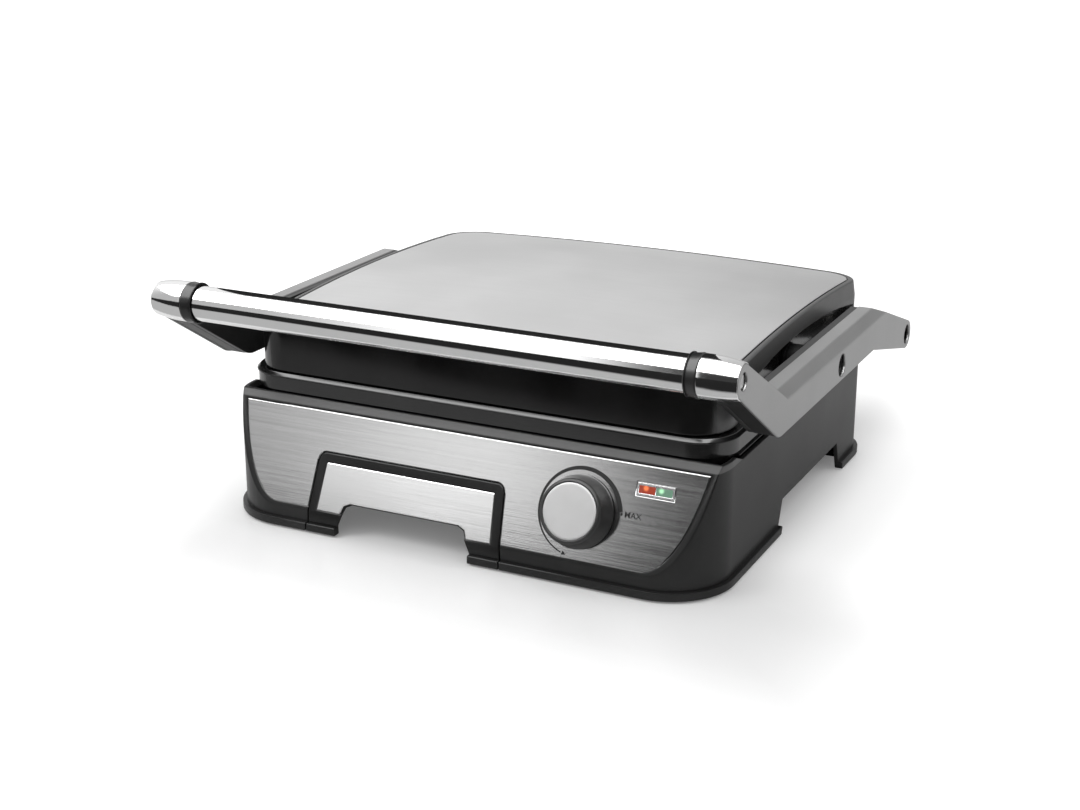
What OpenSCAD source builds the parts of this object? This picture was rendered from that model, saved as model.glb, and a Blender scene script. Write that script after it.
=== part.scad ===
// Electric indoor grill with a hinged, floating lid.
// Millimetres. +Z up, the front faces -Y, the origin is on the table under the middle of the object.

/* [Base] */
// Width of the base across its side walls
body_w = 348; // [336:1:360]
// Depth of the base from its upright front strip to its rear wall
body_d = 325.5; // [315:0.5:340]
// Height of the sloping front's top edge above the table
body_h = 78.5; // [76:0.5:84]
// Rise of the shoulder behind the sloping front's top edge
shoulder_h = 4.5; // [4:0.1:5.5]
// Depth of the chamfer that leads up to the shoulder
shoulder_run = 3.3; // [3:0.1:4.5]
// Thickness of the moulded housing walls
wall = 3; // [2.4:0.1:3.6]
// Plan radius of the two front corners
corner_front = 41; // [38:1:45]
// Plan radius of the two rear corners
corner_rear = 30; // [24:1:36]
// Backward lean of the sloping front, in degrees
face_tilt = 20.8; // [16:0.2:24]
// Height at which the sloping front ends and the upright strip starts
nose_h = 15.2; // [13:0.2:17]
// Height of the lip around the bottom of the housing
flange_h = 5.5; // [4:0.25:7]
// How far the bottom lip stands proud of the walls
flange_out = 3; // [2:0.25:4]
// Height of the arched cut in each side wall
notch_h = 21.5; // [16:0.5:21.5]
// Length of the arched cut at the table
notch_len = 136; // [110:1:150]

/* [Feet] */
// Radius of each rubber foot
foot_r = 10; // [8:0.5:12]
// How far the feet lift the housing off the table
foot_lift = 1.2; // [0.8:0.1:2]

/* [Front panel] */
// Thickness of the steel front skin
skin = 1.2; // [0.8:0.1:1.5]
// Width of the black border beside the steel skin
side_border = 4.5; // [3:0.25:6]
// Width of the black border below the steel skin
low_border = 0.8; // [0.6:0.1:2]
// Width of the black border above the steel skin
top_border = 1.5; // [1:0.1:2.5]
// Plan radius of the steel skin's two corners
skin_corner = 39.5; // [38:0.5:43]
// Sideways place of the drip tray's middle
tray_x = -35; // [-45:1:-30]
// Width of the tray's front at its top edge
tray_w_top = 136; // [124:1:140]
// Width of the tray's front at the table
tray_w_low = 143; // [141:1:150]
// Height of the top edge of the tray's front
tray_top = 52; // [50:0.5:54]
// Width of the black frame around the tray's steel face
tray_frame = 6; // [4:0.5:8]
// Running gap around the tray's front
tray_gap = 0.5; // [0.3:0.1:0.8]
// Width of the finger notch under the tray at the table
grip_w = 98; // [80:1:100]
// Height of the finger notch
grip_h = 21; // [16:0.5:21]

/* [Drip tray pan] */
// Width of the pan
pan_w = 122; // [100:1:124]
// Length of the pan
pan_l = 192; // [160:1:210]
// Depth of the pan
pan_h = 20; // [14:0.5:21]
// Thickness of the pan's walls
pan_wall = 2; // [1.6:0.1:2.5]

/* [Control knob] */
// Distance of the knob's middle from the base's right side
knob_side = 88; // [84:0.5:92]
// Distance of the knob's middle below the top edge, along the slope
knob_down = 36.4; // [34.6:0.2:39]
// Radius of the knob's skirt
knob_r = 23; // [20:0.5:25]
// Radius of the knob's metal face
knob_face_r = 17.8; // [15:0.2:18.5]
// How far the knob stands out of the front
knob_h = 16.5; // [14:0.5:20]
// Radius of the thermostat spindle
spindle_r = 3; // [2.5:0.1:3.5]

/* [Indicator window] */
// Distance of the window's middle from the base's right side
window_side = 41; // [39:0.5:43]
// Distance of the window's middle below the top edge, along the slope
window_down = 16.2; // [14.6:0.2:18.6]
// Width of the window
window_w = 24.4; // [20:0.2:26]
// Height of the window
window_h = 8; // [6:0.2:9]

/* [Cooking plates] */
// Height of the rim round the lower plate above the sloping front's top edge
rim_h = 17.8; // [16.4:0.2:19]
// Height of the bead along the rim's top
bead_h = 3.2; // [2.4:0.2:4]
// How far the bead stands proud of the rim's wall
bead_out = 0.9; // [0.5:0.1:1.5]
// Gap between the rim and the closed lid
lid_gap = 1; // [0.8:0.1:1.8]
// Distance of the plates' edges from the lid's sides
plate_side = 20; // [18:0.5:28]
// Depth of each cooking plate
plate_d = 236; // [220:1:240]
// Thickness of the plate's web
plate_web = 4.5; // [3.5:0.1:5.5]
// Number of raised ribs on each plate
rib_count = 15; // [9:1:19]
// Width of a rib
rib_w = 5; // [3:0.5:7]
// Radius of the tubular heating elements
element_r = 3.5; // [3:0.1:4]
// Least gap between the closed plates
plate_gap = 0.3; // [0.2:0.1:0.5]

/* [Lid] */
// Distance of the lid's sides from the base's side walls
lid_side = 6; // [4:0.5:9]
// Height of the lid from its lower lip to the top of its crown
lid_h = 41.5; // [40:0.25:45]
// Setback of the lid's front behind the top edge of the sloping front
lid_setback = 5; // [3:0.5:8]
// How far each side of the lid draws in from its lip to its top
lid_draw = 4; // [2:0.25:5]
// Plan radius of the lid's corners
lid_corner = 27; // [22:0.5:30]
// Radius of the top's crown from front to back
crown_r = 1600; // [1300:50:2400]
// Radius of the top's crown from side to side
crown_across = 3900; // [3000:100:6000]
// Thickness of the lid's moulded shell
lid_wall = 2.5; // [2:0.1:3]
// Thickness of the steel top plate
top_skin = 1; // [0.8:0.1:1.2]
// Width of the dark bezel around the steel top plate
bezel = 3; // [2.5:0.25:5]
// Depth of the arched recess in each side of the lid
recess = 8; // [6:0.5:9]

/* [Handle and arms] */
// How far the arms' outer faces stand outside the base's side walls
arm_side = 25; // [23:0.5:31]
// Thickness of the silver outer casting of each arm
arm_cast = 14; // [12:0.5:15]
// How far the black core shows inboard of each casting
arm_core_t = 5; // [4:0.25:6]
// Height of the straight part of each arm
arm_h = 29; // [27:0.5:31]
// Radius of the handle tube
tube_r = 11.4; // [10:0.2:12]
// Radius of the black rings on the handle
ring_r = 13.3; // [13:0.1:14]
// Width of each ring
ring_w = 8; // [6:0.5:9]
// Length of the bright end cap between the ring and the arm's outer face
cap_len = 24; // [20:0.5:26]
// Forward reach of the handle's middle from the base's front
reach = 18.7; // [16:0.1:24]
// Height of the handle's middle above the housing
handle_up = 74.5; // [70:0.5:78.5]
// Radius of the arm's round end inside the handle's cap
arm_end_r = 10.4; // [9.5:0.1:10.8]
// Radius of the arm's round end at the hinge
boss_r = 10.5; // [9.5:0.1:11]
// Wall thickness of the arm castings
cast_wall = 2.4; // [2:0.1:3]

/* [Hinge and pivot] */
// Distance of the hinge axis behind the rear wall
hinge_back = 10; // [9.5:0.25:12]
// Height of the hinge axis above the housing
hinge_up = 7.8; // [7.2:0.1:8.5]
// Height of the lid's pivot above the housing
pivot_up = 30.2; // [29.2:0.1:31.5]
// Distance of the lid's pivot in front of the lid's middle
pivot_fwd = 6; // [0:0.5:10]
// Radius of the hinge pins
pin_r = 5; // [4:0.1:5.2]
// Radius of the lid's pivot bolts
bolt_r = 4; // [3.5:0.1:4.5]
// Radial running clearance of pins, bolts and the spindle
run_fit = 0.05; // [0.02:0.01:0.09]

/* [Cord inlet] */
// Distance of the cord's inlet from the base's right side
inlet_side = 78; // [70:1:110]
// Height of the cord's inlet
inlet_z = 42; // [38:0.5:48]
// Radius of the bore for the mains cord
cord_r = 3.8; // [3.2:0.1:4.2]

/* [Hidden] */
$fn = 72;
eps = 0.01;
far = 600;

// Plan of the base, front to back. The object is centred from the handle's rings to the hinge bosses.
body_cy = (reach + ring_r - hinge_back - boss_r) / 2;
body_front = body_cy - body_d / 2;
body_rear = body_cy + body_d / 2;
fascia_y = body_front + (body_h - nose_h) * tan(face_tilt);

// Widths and sideways places, from the base's width.
lid_w = body_w - 2 * lid_side;
plate_w = lid_w - 2 * plate_side;
arms_w = body_w + 2 * arm_side;
knob_x = body_w / 2 - knob_side;
window_x = body_w / 2 - window_side;
inlet_x = body_w / 2 - inlet_side;

// Levels of the base.
cover_t = 2.5;
cover_z = foot_lift + notch_h - 0.4;
cover_top = cover_z + cover_t;
pad_h = 4.4;
pad_border = 4;
pad_reach = 46;
seam = 0.4;

// Fixings, feet and cuts of the base.
notch_cy = body_cy + 34;
notch_lean = 9;
post_x = body_w / 2 - wall - 3.5;
post_places = [body_front + 62, notch_cy, body_rear - 40];
post_r = 5;
post_h = 30;
peg_r = 3;
foot_front = [body_w / 2 - 42, body_front + 42];
foot_rear = [body_w / 2 - 26, body_rear - 26];
shoulder_flat = 17;
shoulder_fall = 12;

// Rim, plates and lid, from the table up.
side_z = body_h - 0.3;
rim_z = body_h + rim_h;
mid_z = rim_z + lid_gap / 2;
plate_h = 11.7;
plate_z = mid_z - plate_h;
ledge_t = 2;
ledge_z = plate_z - ledge_t;
ledge_w = 4;
rib_top = mid_z - plate_gap / 2;
lid_z = rim_z + lid_gap;
lid_top = lid_z + lid_h;
lid_front = fascia_y + lid_setback;
lid_rear = body_rear + 1;
lid_cy = (lid_front + lid_rear) / 2;
lid_d = lid_rear - lid_front;
lid_in = 0.6;
seam_w = 0.7;
lip_w = 2.4;
mouth = lid_w / 2 - recess - lid_wall;
mouth_front = 10;
mouth_rear = 8;
mouth_corner = 16;
crown_back = 6;
plate_seat = 0.15;
plate_cy = lid_cy - 0.5;
plate_corner = 16;
plate_fit = 0.5;
reflector_deep = 15;
reflector_t = 0.8;
element_pitch = 52;
element_run = plate_d / 2 - 30;
screw_spread = [2 * element_pitch, element_run - element_pitch / 2];

// Handle, arms, hinge and pivot.
tube_y = body_front - reach;
tube_z = body_h + handle_up;
hinge_y = body_rear + hinge_back;
hinge_z = body_h + hinge_up;
pivot_y = lid_cy - pivot_fwd;
pivot_z = body_h + pivot_up;
arm_out = arms_w / 2;
arm_mid = arm_out - arm_cast;
arm_in = arm_mid - arm_core_t;
arm_low = pivot_z - 10.6;
arm_top = arm_low + arm_h;
elbow_y = tube_y + 66;
bend_y = hinge_y - 85;
bush_proud = 0.8;
bush_wall = 3;
head_seat = arm_out - 6.7;
head_t = 3;
cap_start = arm_out - cap_len;
tube_half = cap_start - ring_w;
cap_r = ring_r - 0.3;
screw_r = 1.6;
cap_end_r = arm_end_r + 0.6;
blend = 0.1;
cap_clear = 0.15;
core_gap = 0.2;
hinge_bush_r = pin_r + 1.8;
front_hole_r = 5.2;
pivot_hole_r = 7.4;
hinge_hole_r = 7;
front_seat = arm_out - 3.4;

// ---------------------------------------------------------------- helpers

// The left and right copies of a piece.
module pair() {
    children();
    mirror([1, 0, 0]) children();
}

// A plan outline with one radius at its front corners and one at its rear corners.
module plan(half_w, front, rear, r_front, r_rear) {
    union() {
        translate([-half_w, front + r_front]) square([2 * half_w, rear - front - r_front - r_rear]);
        translate([-half_w + r_front, front]) square([2 * (half_w - r_front), r_front + eps]);
        translate([-half_w + r_rear, rear - r_rear - eps]) square([2 * (half_w - r_rear), r_rear + eps]);
        for (side = [-1, 1]) {
            translate([side * (half_w - r_front), front + r_front]) circle(r_front);
            translate([side * (half_w - r_rear), rear - r_rear]) circle(r_rear);
        }
    }
}

// The base's plan, drawn in by a distance.
module body_plan(inset = 0) {
    plan(body_w / 2 - inset, body_front + inset, body_rear - inset, corner_front - inset,
        corner_rear - inset);
}

// Plan of the steel skin's outline.
module skin_plan() {
    plan(body_w / 2 - side_border, body_front + low_border, body_rear, skin_corner, corner_rear);
}

module lid_plan(inset = 0) {
    plan(lid_w / 2 - inset, lid_front + inset, lid_rear - inset, lid_corner - inset, lid_corner - inset);
}

module plate_plan(grow = 0) {
    plan(plate_w / 2 + grow, plate_cy - plate_d / 2 - grow, plate_cy + plate_d / 2 + grow,
        plate_corner + grow, plate_corner + grow);
}

module level(low, high) {
    translate([0, 0, low]) linear_extrude(high - low) children();
}

// A profile drawn in Y and Z, run from one X to another.
module along_x(x_low, x_high) {
    translate([x_low, 0, 0]) rotate([90, 0, 90]) linear_extrude(x_high - x_low) children();
}

// A profile drawn in X and Z, run backwards from one Y to another.
module along_y(y_low, y_high) {
    translate([0, y_high, 0]) rotate([90, 0, 0]) linear_extrude(y_high - y_low) children();
}

module rod_x(x_low, x_high, y, z, r) {
    translate([x_low, y, z]) rotate([0, 90, 0]) cylinder(h = x_high - x_low, r = r);
}

module rod_y(x, y_low, y_high, z, r) {
    translate([x, y_low, z]) rotate([-90, 0, 0]) cylinder(h = y_high - y_low, r = r);
}

// Places a piece on the sloping front: X across, Y up the slope, Z out of it.
module on_face() {
    translate([0, fascia_y, body_h]) rotate([90 - face_tilt, 0, 0]) children();
}

// Everything behind the sloping front, sunk by a depth.
module behind_face(depth = 0) {
    on_face() translate([-far / 2, -far / 2, -far - depth]) cube([far, far, far]);
}

module face_slab(depth, proud = 0) {
    on_face() translate([-far / 2, -far / 2, -depth]) cube([far, far, depth + proud]);
}

// ---------------------------------------------------------------- base

// Outline of the tray's front, seen from the front; grow widens it.
module tray_outline(grow = 0) {
    r = max(5 + grow, 1);
    half_top = tray_w_top / 2 + grow;
    half_low = tray_w_low / 2 + grow;
    top = tray_top + grow;
    slope = (half_low - half_top) / tray_top;
    translate([tray_x, 0]) union() {
        polygon([[-half_low, -1], [half_low, -1], [half_top + slope * r, top - r], [half_top - r, top],
            [r - half_top, top], [-half_top - slope * r, top - r]]);
        for (side = [-1, 1]) translate([side * (half_top - r), top - r]) circle(r);
    }
}

module side_notch() {
    top = foot_lift + notch_h;
    bottom = notch_cy - notch_len / 2;
    polygon([[bottom, -1], [bottom + notch_len, -1], [bottom + notch_len - notch_lean, top],
        [bottom + notch_lean, top]]);
}

module foot_pads() {
    intersection() {
        level(foot_lift, foot_lift + pad_h) body_plan(eps);
        pair() union() {
            translate([foot_front[0] - foot_r - pad_border, body_front, 0])
                cube([far, foot_r + pad_reach, far]);
            translate([foot_rear[0] - foot_r - pad_border, foot_rear[1] - foot_r - pad_border, 0])
                cube([far, far, far]);
        }
    }
}

// Side view of the housing's top: up the chamfer to the shoulder, then down to the side walls.
module shoulder_profile() {
    top = body_h + shoulder_h;
    flat_y = fascia_y + shoulder_run;
    fall_y = flat_y + shoulder_flat;
    polygon([[-far, -1], [-far, body_h], [fascia_y, body_h], [flat_y, top], [fall_y, top],
        [fall_y + shoulder_fall, side_z], [far, side_z], [far, -1]]);
}

module base_housing() {
    color([0.13, 0.13, 0.135]) difference() {
        union() {
            difference() {
                intersection() {
                    union() {
                        level(foot_lift, body_h + shoulder_h) body_plan();
                        level(foot_lift, foot_lift + flange_h) body_plan(-flange_out);
                    }
                    union() {
                        behind_face();
                        level(0, nose_h - 1) translate([-far / 2, -far / 2]) square(far);
                        level(body_h - eps, far) translate([-far / 2, fascia_y]) square(far);
                    }
                    along_x(-far, far) shoulder_profile();
                }
                intersection() {
                    level(-1, far) body_plan(wall);
                    union() {
                        intersection() {
                            behind_face(wall);
                            level(-1, body_h - 1.4) translate([-far / 2, -far / 2]) square(far);
                        }
                        level(body_h - 1.5, far) translate([-far / 2, fascia_y + shoulder_run + lip_w]) square(far);
                    }
                }
            }
            foot_pads();
            intersection() {
                pair() for (y = post_places) translate([post_x, y, cover_top]) cylinder(h = post_h, r = post_r);
                level(0, body_h) body_plan(eps);
            }
        }
        intersection() {
            face_slab(skin, 1);
            level(nose_h + 1, body_h - top_border) skin_plan();
        }
        along_y(body_front - 20, body_front + 40) tray_outline(tray_gap);
        along_x(-far, far) side_notch();
        pair() {
            for (y = post_places) translate([post_x, y, cover_top - 1]) cylinder(h = post_h - 8, r = screw_r);
            for (p = [foot_front, foot_rear]) translate([p[0], p[1], 0]) {
                cylinder(h = foot_lift + 1.6, r = foot_r + 0.2);
                cylinder(h = 20, r = peg_r + 0.1);
            }
        }
        on_face() {
            translate([knob_x, -knob_down, -10]) cylinder(h = 12, r = spindle_r + 2.6);
            translate([window_x - window_w / 2 + 0.8, -window_down - window_h / 2 + 0.8, -10])
                cube([window_w - 1.6, window_h - 1.6, 12]);
        }
        rod_y(inlet_x, body_rear - 10, body_rear + 10, inlet_z, cord_r + 2.4);
        for (y = bracket_screw_z) pair() rod_y(bracket_x, body_rear - 10, body_rear + 10, y, screw_r);
    }
}

module front_fascia() {
    color([0.72, 0.72, 0.72]) difference() {
        intersection() {
            face_slab(skin);
            level(nose_h + 1, body_h - top_border) skin_plan();
        }
        along_y(body_front - 20, body_front + 40) tray_outline(tray_gap);
        on_face() {
            translate([knob_x, -knob_down, -10]) cylinder(h = 20, r = spindle_r + 2.6);
            translate([window_x - window_w / 2, -window_down - window_h / 2, -10])
                cube([window_w, window_h, 20]);
        }
    }
}

module bottom_cover() {
    slots = 9;
    pitch = 13;
    slot_w = 40;
    color([0.1, 0.1, 0.1]) difference() {
        intersection() {
            level(cover_z, cover_top) body_plan(wall + seam);
            behind_face(wall + seam);
            translate([-far / 2, body_front + wall + 14, 0]) cube([far, far, far]);
        }
        for (column = [-1 : 1], i = [0 : slots - 1])
            translate([tray_x + 1.5 * slot_w * column - slot_w / 2, body_cy + 20 + (i - slots / 2) * pitch,
                cover_z - 1]) cube([slot_w, 4, 10]);
        pair() for (y = post_places) translate([post_x, y, cover_z - 1]) cylinder(h = 10, r = screw_r + 0.3);
    }
}

// A pan-head screw pointing up from z = 0, its head below.
module screw(length, r, head_r, head) {
    translate([0, 0, -head]) cylinder(h = head, r = head_r);
    cylinder(h = length, r = r);
}

module cover_screws() {
    color("silver") pair() for (y = post_places) translate([post_x, y, cover_z]) screw(16, screw_r, 3.2, 2);
}

module rubber_feet() {
    color([0.05, 0.05, 0.05]) pair() for (p = [foot_front, foot_rear]) translate([p[0], p[1], 0]) {
        cylinder(h = foot_lift + 1.6, r = foot_r);
        cylinder(h = foot_lift + pad_h + 2, r = peg_r);
    }
}

// Plan of the rim round the lower plate, drawn in by a distance.
module rim_plan(inset = 0) {
    plan(body_w / 2 - 1 - inset, fascia_y + shoulder_run + 0.3 + inset, body_rear - inset,
        lid_corner - inset, corner_rear - inset);
}

module lower_surround() {
    neck = 5;
    color([0.07, 0.07, 0.07]) difference() {
        union() {
            level(rim_z - bead_h, rim_z) rim_plan();
            level(body_h + shoulder_h + 0.9, rim_z - bead_h + eps) rim_plan(bead_out);
            level(side_z, body_h + shoulder_h + 1) rim_plan(neck);
            level(side_z - 2.2, side_z + eps) rim_plan(wall + 2.6);
            level(side_z, side_z + 1.6) intersection() {
                rim_plan(2.2);
                translate([-far / 2, fascia_y + shoulder_run + shoulder_flat + shoulder_fall + 3]) square(far);
            }
        }
        level(plate_z, rim_z + 1) plate_plan(plate_fit);
        level(body_h - 10, rim_z) plate_plan(-ledge_w);
        level(side_z - 3, ledge_z) rim_plan(wall + neck + 1);
    }
}

// A ribbed cooking plate with its gutter, at the lower plate's place.
module grill_plate() {
    wall_t = 5;
    rib_span = plate_w - 2 * wall_t - 18;
    rib_front = plate_cy - plate_d / 2 + 24;
    difference() {
        level(plate_z, rim_z - 1) plate_plan();
        level(plate_z + plate_web, rim_z) plate_plan(-wall_t);
    }
    level(plate_z + plate_web - 1, rib_top)
        for (i = [0 : rib_count - 1])
            translate([-rib_span / 2 + i * rib_span / (rib_count - 1) - rib_w / 2, rib_front])
                square([rib_w, plate_d - 24 - wall_t - 8]);
    for (sx = [-1, 1], sy = [-1, 1]) translate([sx * screw_spread[0], plate_cy + sy * screw_spread[1],
        plate_z - reflector_deep + reflector_t]) difference() {
        cylinder(h = reflector_deep, r = 5);
        translate([0, 0, -1]) cylinder(h = 11, r = 2);
    }
}

spout_y = plate_cy - plate_d / 2 + 14;
spout_r = 7;
spout_low = plate_z - reflector_deep - 14;

module lower_grill_plate() {
    color([0.16, 0.16, 0.16]) difference() {
        union() {
            grill_plate();
            translate([tray_x, spout_y, spout_low]) cylinder(h = plate_z - spout_low + 1, r = spout_r);
        }
        translate([tray_x, spout_y, spout_low - 1]) cylinder(h = far, r = spout_r - 2.2);
    }
}

// A serpentine tubular element: three long loops with both ends at the rear.
module element() {
    pitch = element_pitch;
    legs = 6;
    z = plate_z - element_r - 0.3;
    run = element_run;
    first = -pitch * (legs - 1) / 2;
    for (i = [0 : legs - 1]) {
        x = first + i * pitch;
        tail = (i == 0 || i == legs - 1) ? 12 : 0;
        rod_y(x, plate_cy - run + pitch / 2, plate_cy + run - pitch / 2 + tail, z, element_r);
    }
    for (i = [0 : legs - 2]) {
        front = i % 2 == 0;
        translate([first + (i + 0.5) * pitch, plate_cy + (front ? -1 : 1) * (run - pitch / 2), z])
            rotate([0, 0, front ? 180 : 0]) rotate_extrude(angle = 180)
                translate([pitch / 2, 0]) circle(element_r);
    }
}

module lower_element() {
    color([0.45, 0.42, 0.4]) element();
}

module reflector() {
    low = plate_z - reflector_deep;
    difference() {
        level(low, plate_z) plate_plan(-ledge_w - 1);
        level(low + reflector_t, plate_z + 1) plate_plan(-ledge_w - 1 - reflector_t);
        for (sx = [-1, 1], sy = [-1, 1])
            translate([sx * screw_spread[0], plate_cy + sy * screw_spread[1], low - 1])
                cylinder(h = 3, r = 2.2);
    }
}

module lower_reflector() {
    color([0.75, 0.75, 0.76]) difference() {
        reflector();
        translate([tray_x, spout_y, 0]) cylinder(h = far, r = spout_r + 0.5);
    }
}

module plate_screws() {
    for (sx = [-1, 1], sy = [-1, 1]) translate([sx * screw_spread[0], plate_cy + sy * screw_spread[1],
        plate_z - reflector_deep]) screw(10, 2, 4, 2.4);
}

module lower_plate_screws() {
    color("silver") plate_screws();
}

// The thermostat under the knob: a drum, then a switch block.
drum_r = 12;
drum_h = 9;
block_size = [30, 22, 19.5];
block_low = 8;
spindle_deep = 20;

module thermostat_body() {
    color([0.85, 0.84, 0.8]) on_face() translate([knob_x, -knob_down, 0]) difference() {
        union() {
            translate([0, 0, -wall - drum_h]) cylinder(h = drum_h, r = drum_r);
            translate([-block_size[0] / 2, -block_low, -wall - drum_h - block_size[2] + 0.5])
                cube(block_size);
            translate([0, 0, -wall - 1]) cylinder(h = wall + 1, r = spindle_r + 2.4);
        }
        translate([0, 0, -wall - spindle_deep - 2]) cylinder(h = 2 * spindle_deep, r = spindle_r + run_fit);
    }
}

module thermostat_nut() {
    color("silver") on_face() translate([knob_x, -knob_down, 0]) difference() {
        cylinder(h = 2.4, r = spindle_r + 5.5, $fn = 6);
        translate([0, 0, -1]) cylinder(h = 5, r = spindle_r + run_fit);
    }
}

lens_w = window_w / 2 - 1.6;
lens_h = window_h - 3.2;
lens_mid = lens_w / 2 + 0.3;
lamp_r = 2.2;
lamp_len = 12.4;
lamp_mid = window_w / 4.4;

module indicator_frame() {
    color([0.8, 0.8, 0.8]) on_face() translate([window_x, -window_down, 0]) difference() {
        union() {
            translate([-window_w / 2, -window_h / 2, -skin]) cube([window_w, window_h, skin + 0.5]);
            translate([-window_w / 2 + 1, -window_h / 2 + 1, -wall - 2])
                cube([window_w - 2, window_h - 2, wall + 2]);
        }
        for (side = [-1, 1]) translate([side * lens_mid - lens_w / 2, -lens_h / 2, -20])
            cube([lens_w, lens_h, 30]);
    }
}

module lens(side) {
    on_face() translate([window_x + side * lens_mid - lens_w / 2, -window_down - lens_h / 2, -wall])
        cube([lens_w, lens_h, wall + 0.3]);
}

module red_lens() {
    color([0.8, 0.15, 0.05]) lens(-1);
}

module green_lens() {
    color([0.2, 0.7, 0.3]) lens(1);
}

module lamp_holder() {
    color([0.9, 0.9, 0.88]) on_face() translate([window_x, -window_down, -wall - 2]) difference() {
        translate([-window_w / 2 + 1, -window_h / 2 - 1, -9]) cube([window_w - 2, window_h + 2, 9]);
        for (side = [-1, 1]) translate([side * lamp_mid, 0, -20]) cylinder(h = 30, r = lamp_r);
    }
}

module indicator_lamps() {
    color([1, 0.85, 0.7]) on_face() for (side = [-1, 1])
        translate([window_x + side * lamp_mid, -window_down, -wall - 0.6 - lamp_len])
            cylinder(h = lamp_len, r = lamp_r);
}

terminal_size = [40, 18, 14];
terminal_pitch = 12;
gland_in = 8;
gland_out = 7;

module terminal_block() {
    color([0.9, 0.88, 0.82]) translate([inlet_x - terminal_size[0] / 2, body_rear - 60, cover_top])
        difference() {
            cube(terminal_size);
            for (i = [-1 : 1]) translate([terminal_size[0] / 2 + i * terminal_pitch, terminal_size[1] / 2, 5])
                cylinder(h = terminal_size[2], r = 2.2);
        }
}

module cord_gland() {
    color([0.05, 0.05, 0.05]) difference() {
        union() {
            rod_y(inlet_x, body_rear - wall - gland_in, body_rear + gland_out, inlet_z, cord_r + 2.3);
            rod_y(inlet_x, body_rear, body_rear + 3, inlet_z, cord_r + 4.6);
            rod_y(inlet_x, body_rear - wall - 2.5, body_rear - wall, inlet_z, cord_r + 4);
        }
        rod_y(inlet_x, body_rear - far, body_rear + far, inlet_z, cord_r);
    }
}

runner_gap = 0.5;
pan_z = cover_top + 0.3;
pan_front = body_front + 17;
rail_w = 4;
rail_h = 12;
rail_set = 8;
link_x = 44;
link_w = 8;

module tray_runners() {
    color([0.12, 0.12, 0.12]) for (side = [-1, 1])
        translate([tray_x + side * (pan_w / 2 + runner_gap + rail_w / 2) - rail_w / 2, pan_front + rail_set,
            cover_top]) cube([rail_w, pan_l - rail_set, rail_h]);
}

// Hinge brackets on the rear wall, each a barrel for the pin on a screwed plate.
bracket_x = body_w / 2 - 32;
bracket_w = 24;
bracket_t = 5;
bracket_drop = 32;
bracket_screw_z = [hinge_z - 26, hinge_z - 14];
barrel_r = pin_r + 3.2;
barrel_end = arm_in - bush_proud - 0.4;

module hinge_bracket() {
    color([0.1, 0.1, 0.1]) difference() {
        union() {
            rod_x(bracket_x - bracket_w / 2, barrel_end, hinge_y, hinge_z, barrel_r);
            translate([bracket_x - bracket_w / 2, body_rear, hinge_z - bracket_drop])
                cube([bracket_w, bracket_t, bracket_drop + 1]);
            translate([bracket_x - bracket_w / 2, body_rear, hinge_z - barrel_r])
                cube([bracket_w, hinge_back, barrel_r]);
        }
        rod_x(bracket_x - bracket_w, far, hinge_y, hinge_z, pin_r);
        for (z = bracket_screw_z) rod_y(bracket_x, body_rear - 1, body_rear + 2 * bracket_t, z, screw_r + 0.2);
    }
}

module hinge_bracket_left() {
    mirror([1, 0, 0]) hinge_bracket();
}

module hinge_bracket_right() {
    hinge_bracket();
}

module hinge_pins() {
    color("silver") pair() {
        rod_x(bracket_x - bracket_w / 2 + 2, head_seat + 0.3, hinge_y, hinge_z, pin_r);
        rod_x(head_seat + 0.2, head_seat + head_t, hinge_y, hinge_z, pin_r + 1.5);
    }
}

module bracket_screws() {
    color("silver") pair() for (z = bracket_screw_z) translate([bracket_x, body_rear + bracket_t, z])
        rotate([90, 0, 0]) screw(14, screw_r, 3.2, 1.6);
}

// ---------------------------------------------------------------- drip tray

// The finger notch in the tray's lower edge, seen from the front.
module grip_outline(grow = 0) {
    r = 7;
    half = grip_w / 2 + grow;
    flat = half - 10;
    top = foot_lift + grip_h + grow;
    translate([tray_x, 0]) union() {
        polygon([[-half, -1], [half, -1], [half, 7], [flat + 0.65 * r, top - 0.3 * r], [flat, top],
            [-flat, top], [-flat - 0.65 * r, top - 0.3 * r], [-half, 7]]);
    }
}

module tray_front() {
    color([0.1, 0.1, 0.1]) difference() {
        union() {
            intersection() {
                difference() {
                    union() {
                        level(foot_lift, body_h) body_plan();
                        level(foot_lift, foot_lift + flange_h) body_plan(-flange_out);
                    }
                    intersection() {
                        level(-1, body_h + 1) body_plan(wall);
                        behind_face(wall);
                    }
                }
                union() {
                    behind_face();
                    level(0, nose_h - 1) translate([-far / 2, -far / 2]) square(far);
                }
                along_y(body_front - 20, body_front + 40) tray_outline();
            }
            intersection() {
                for (side = [-1, 1]) translate([tray_x + side * link_x - link_w / 2, body_front, pan_z + 1])
                    cube([link_w, pan_front - body_front, pan_h - 6]);
                behind_face(eps);
            }
        }
        along_y(body_front - 20, pan_front - 8) grip_outline();
        tray_skin_space();
    }
}

// The sunk place of the tray's steel face.
module tray_skin_space() {
    intersection() {
        face_slab(skin, 1);
        level(nose_h + 1, tray_top - tray_frame) translate([-far / 2, -far / 2]) square(far);
        along_y(body_front - 20, body_front + 40) tray_outline(-tray_frame);
    }
}

module tray_fascia() {
    color([0.85, 0.85, 0.85]) difference() {
        intersection() {
            tray_skin_space();
            behind_face();
        }
        along_y(body_front - 20, body_front + 40) grip_outline(1.2);
    }
}

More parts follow.
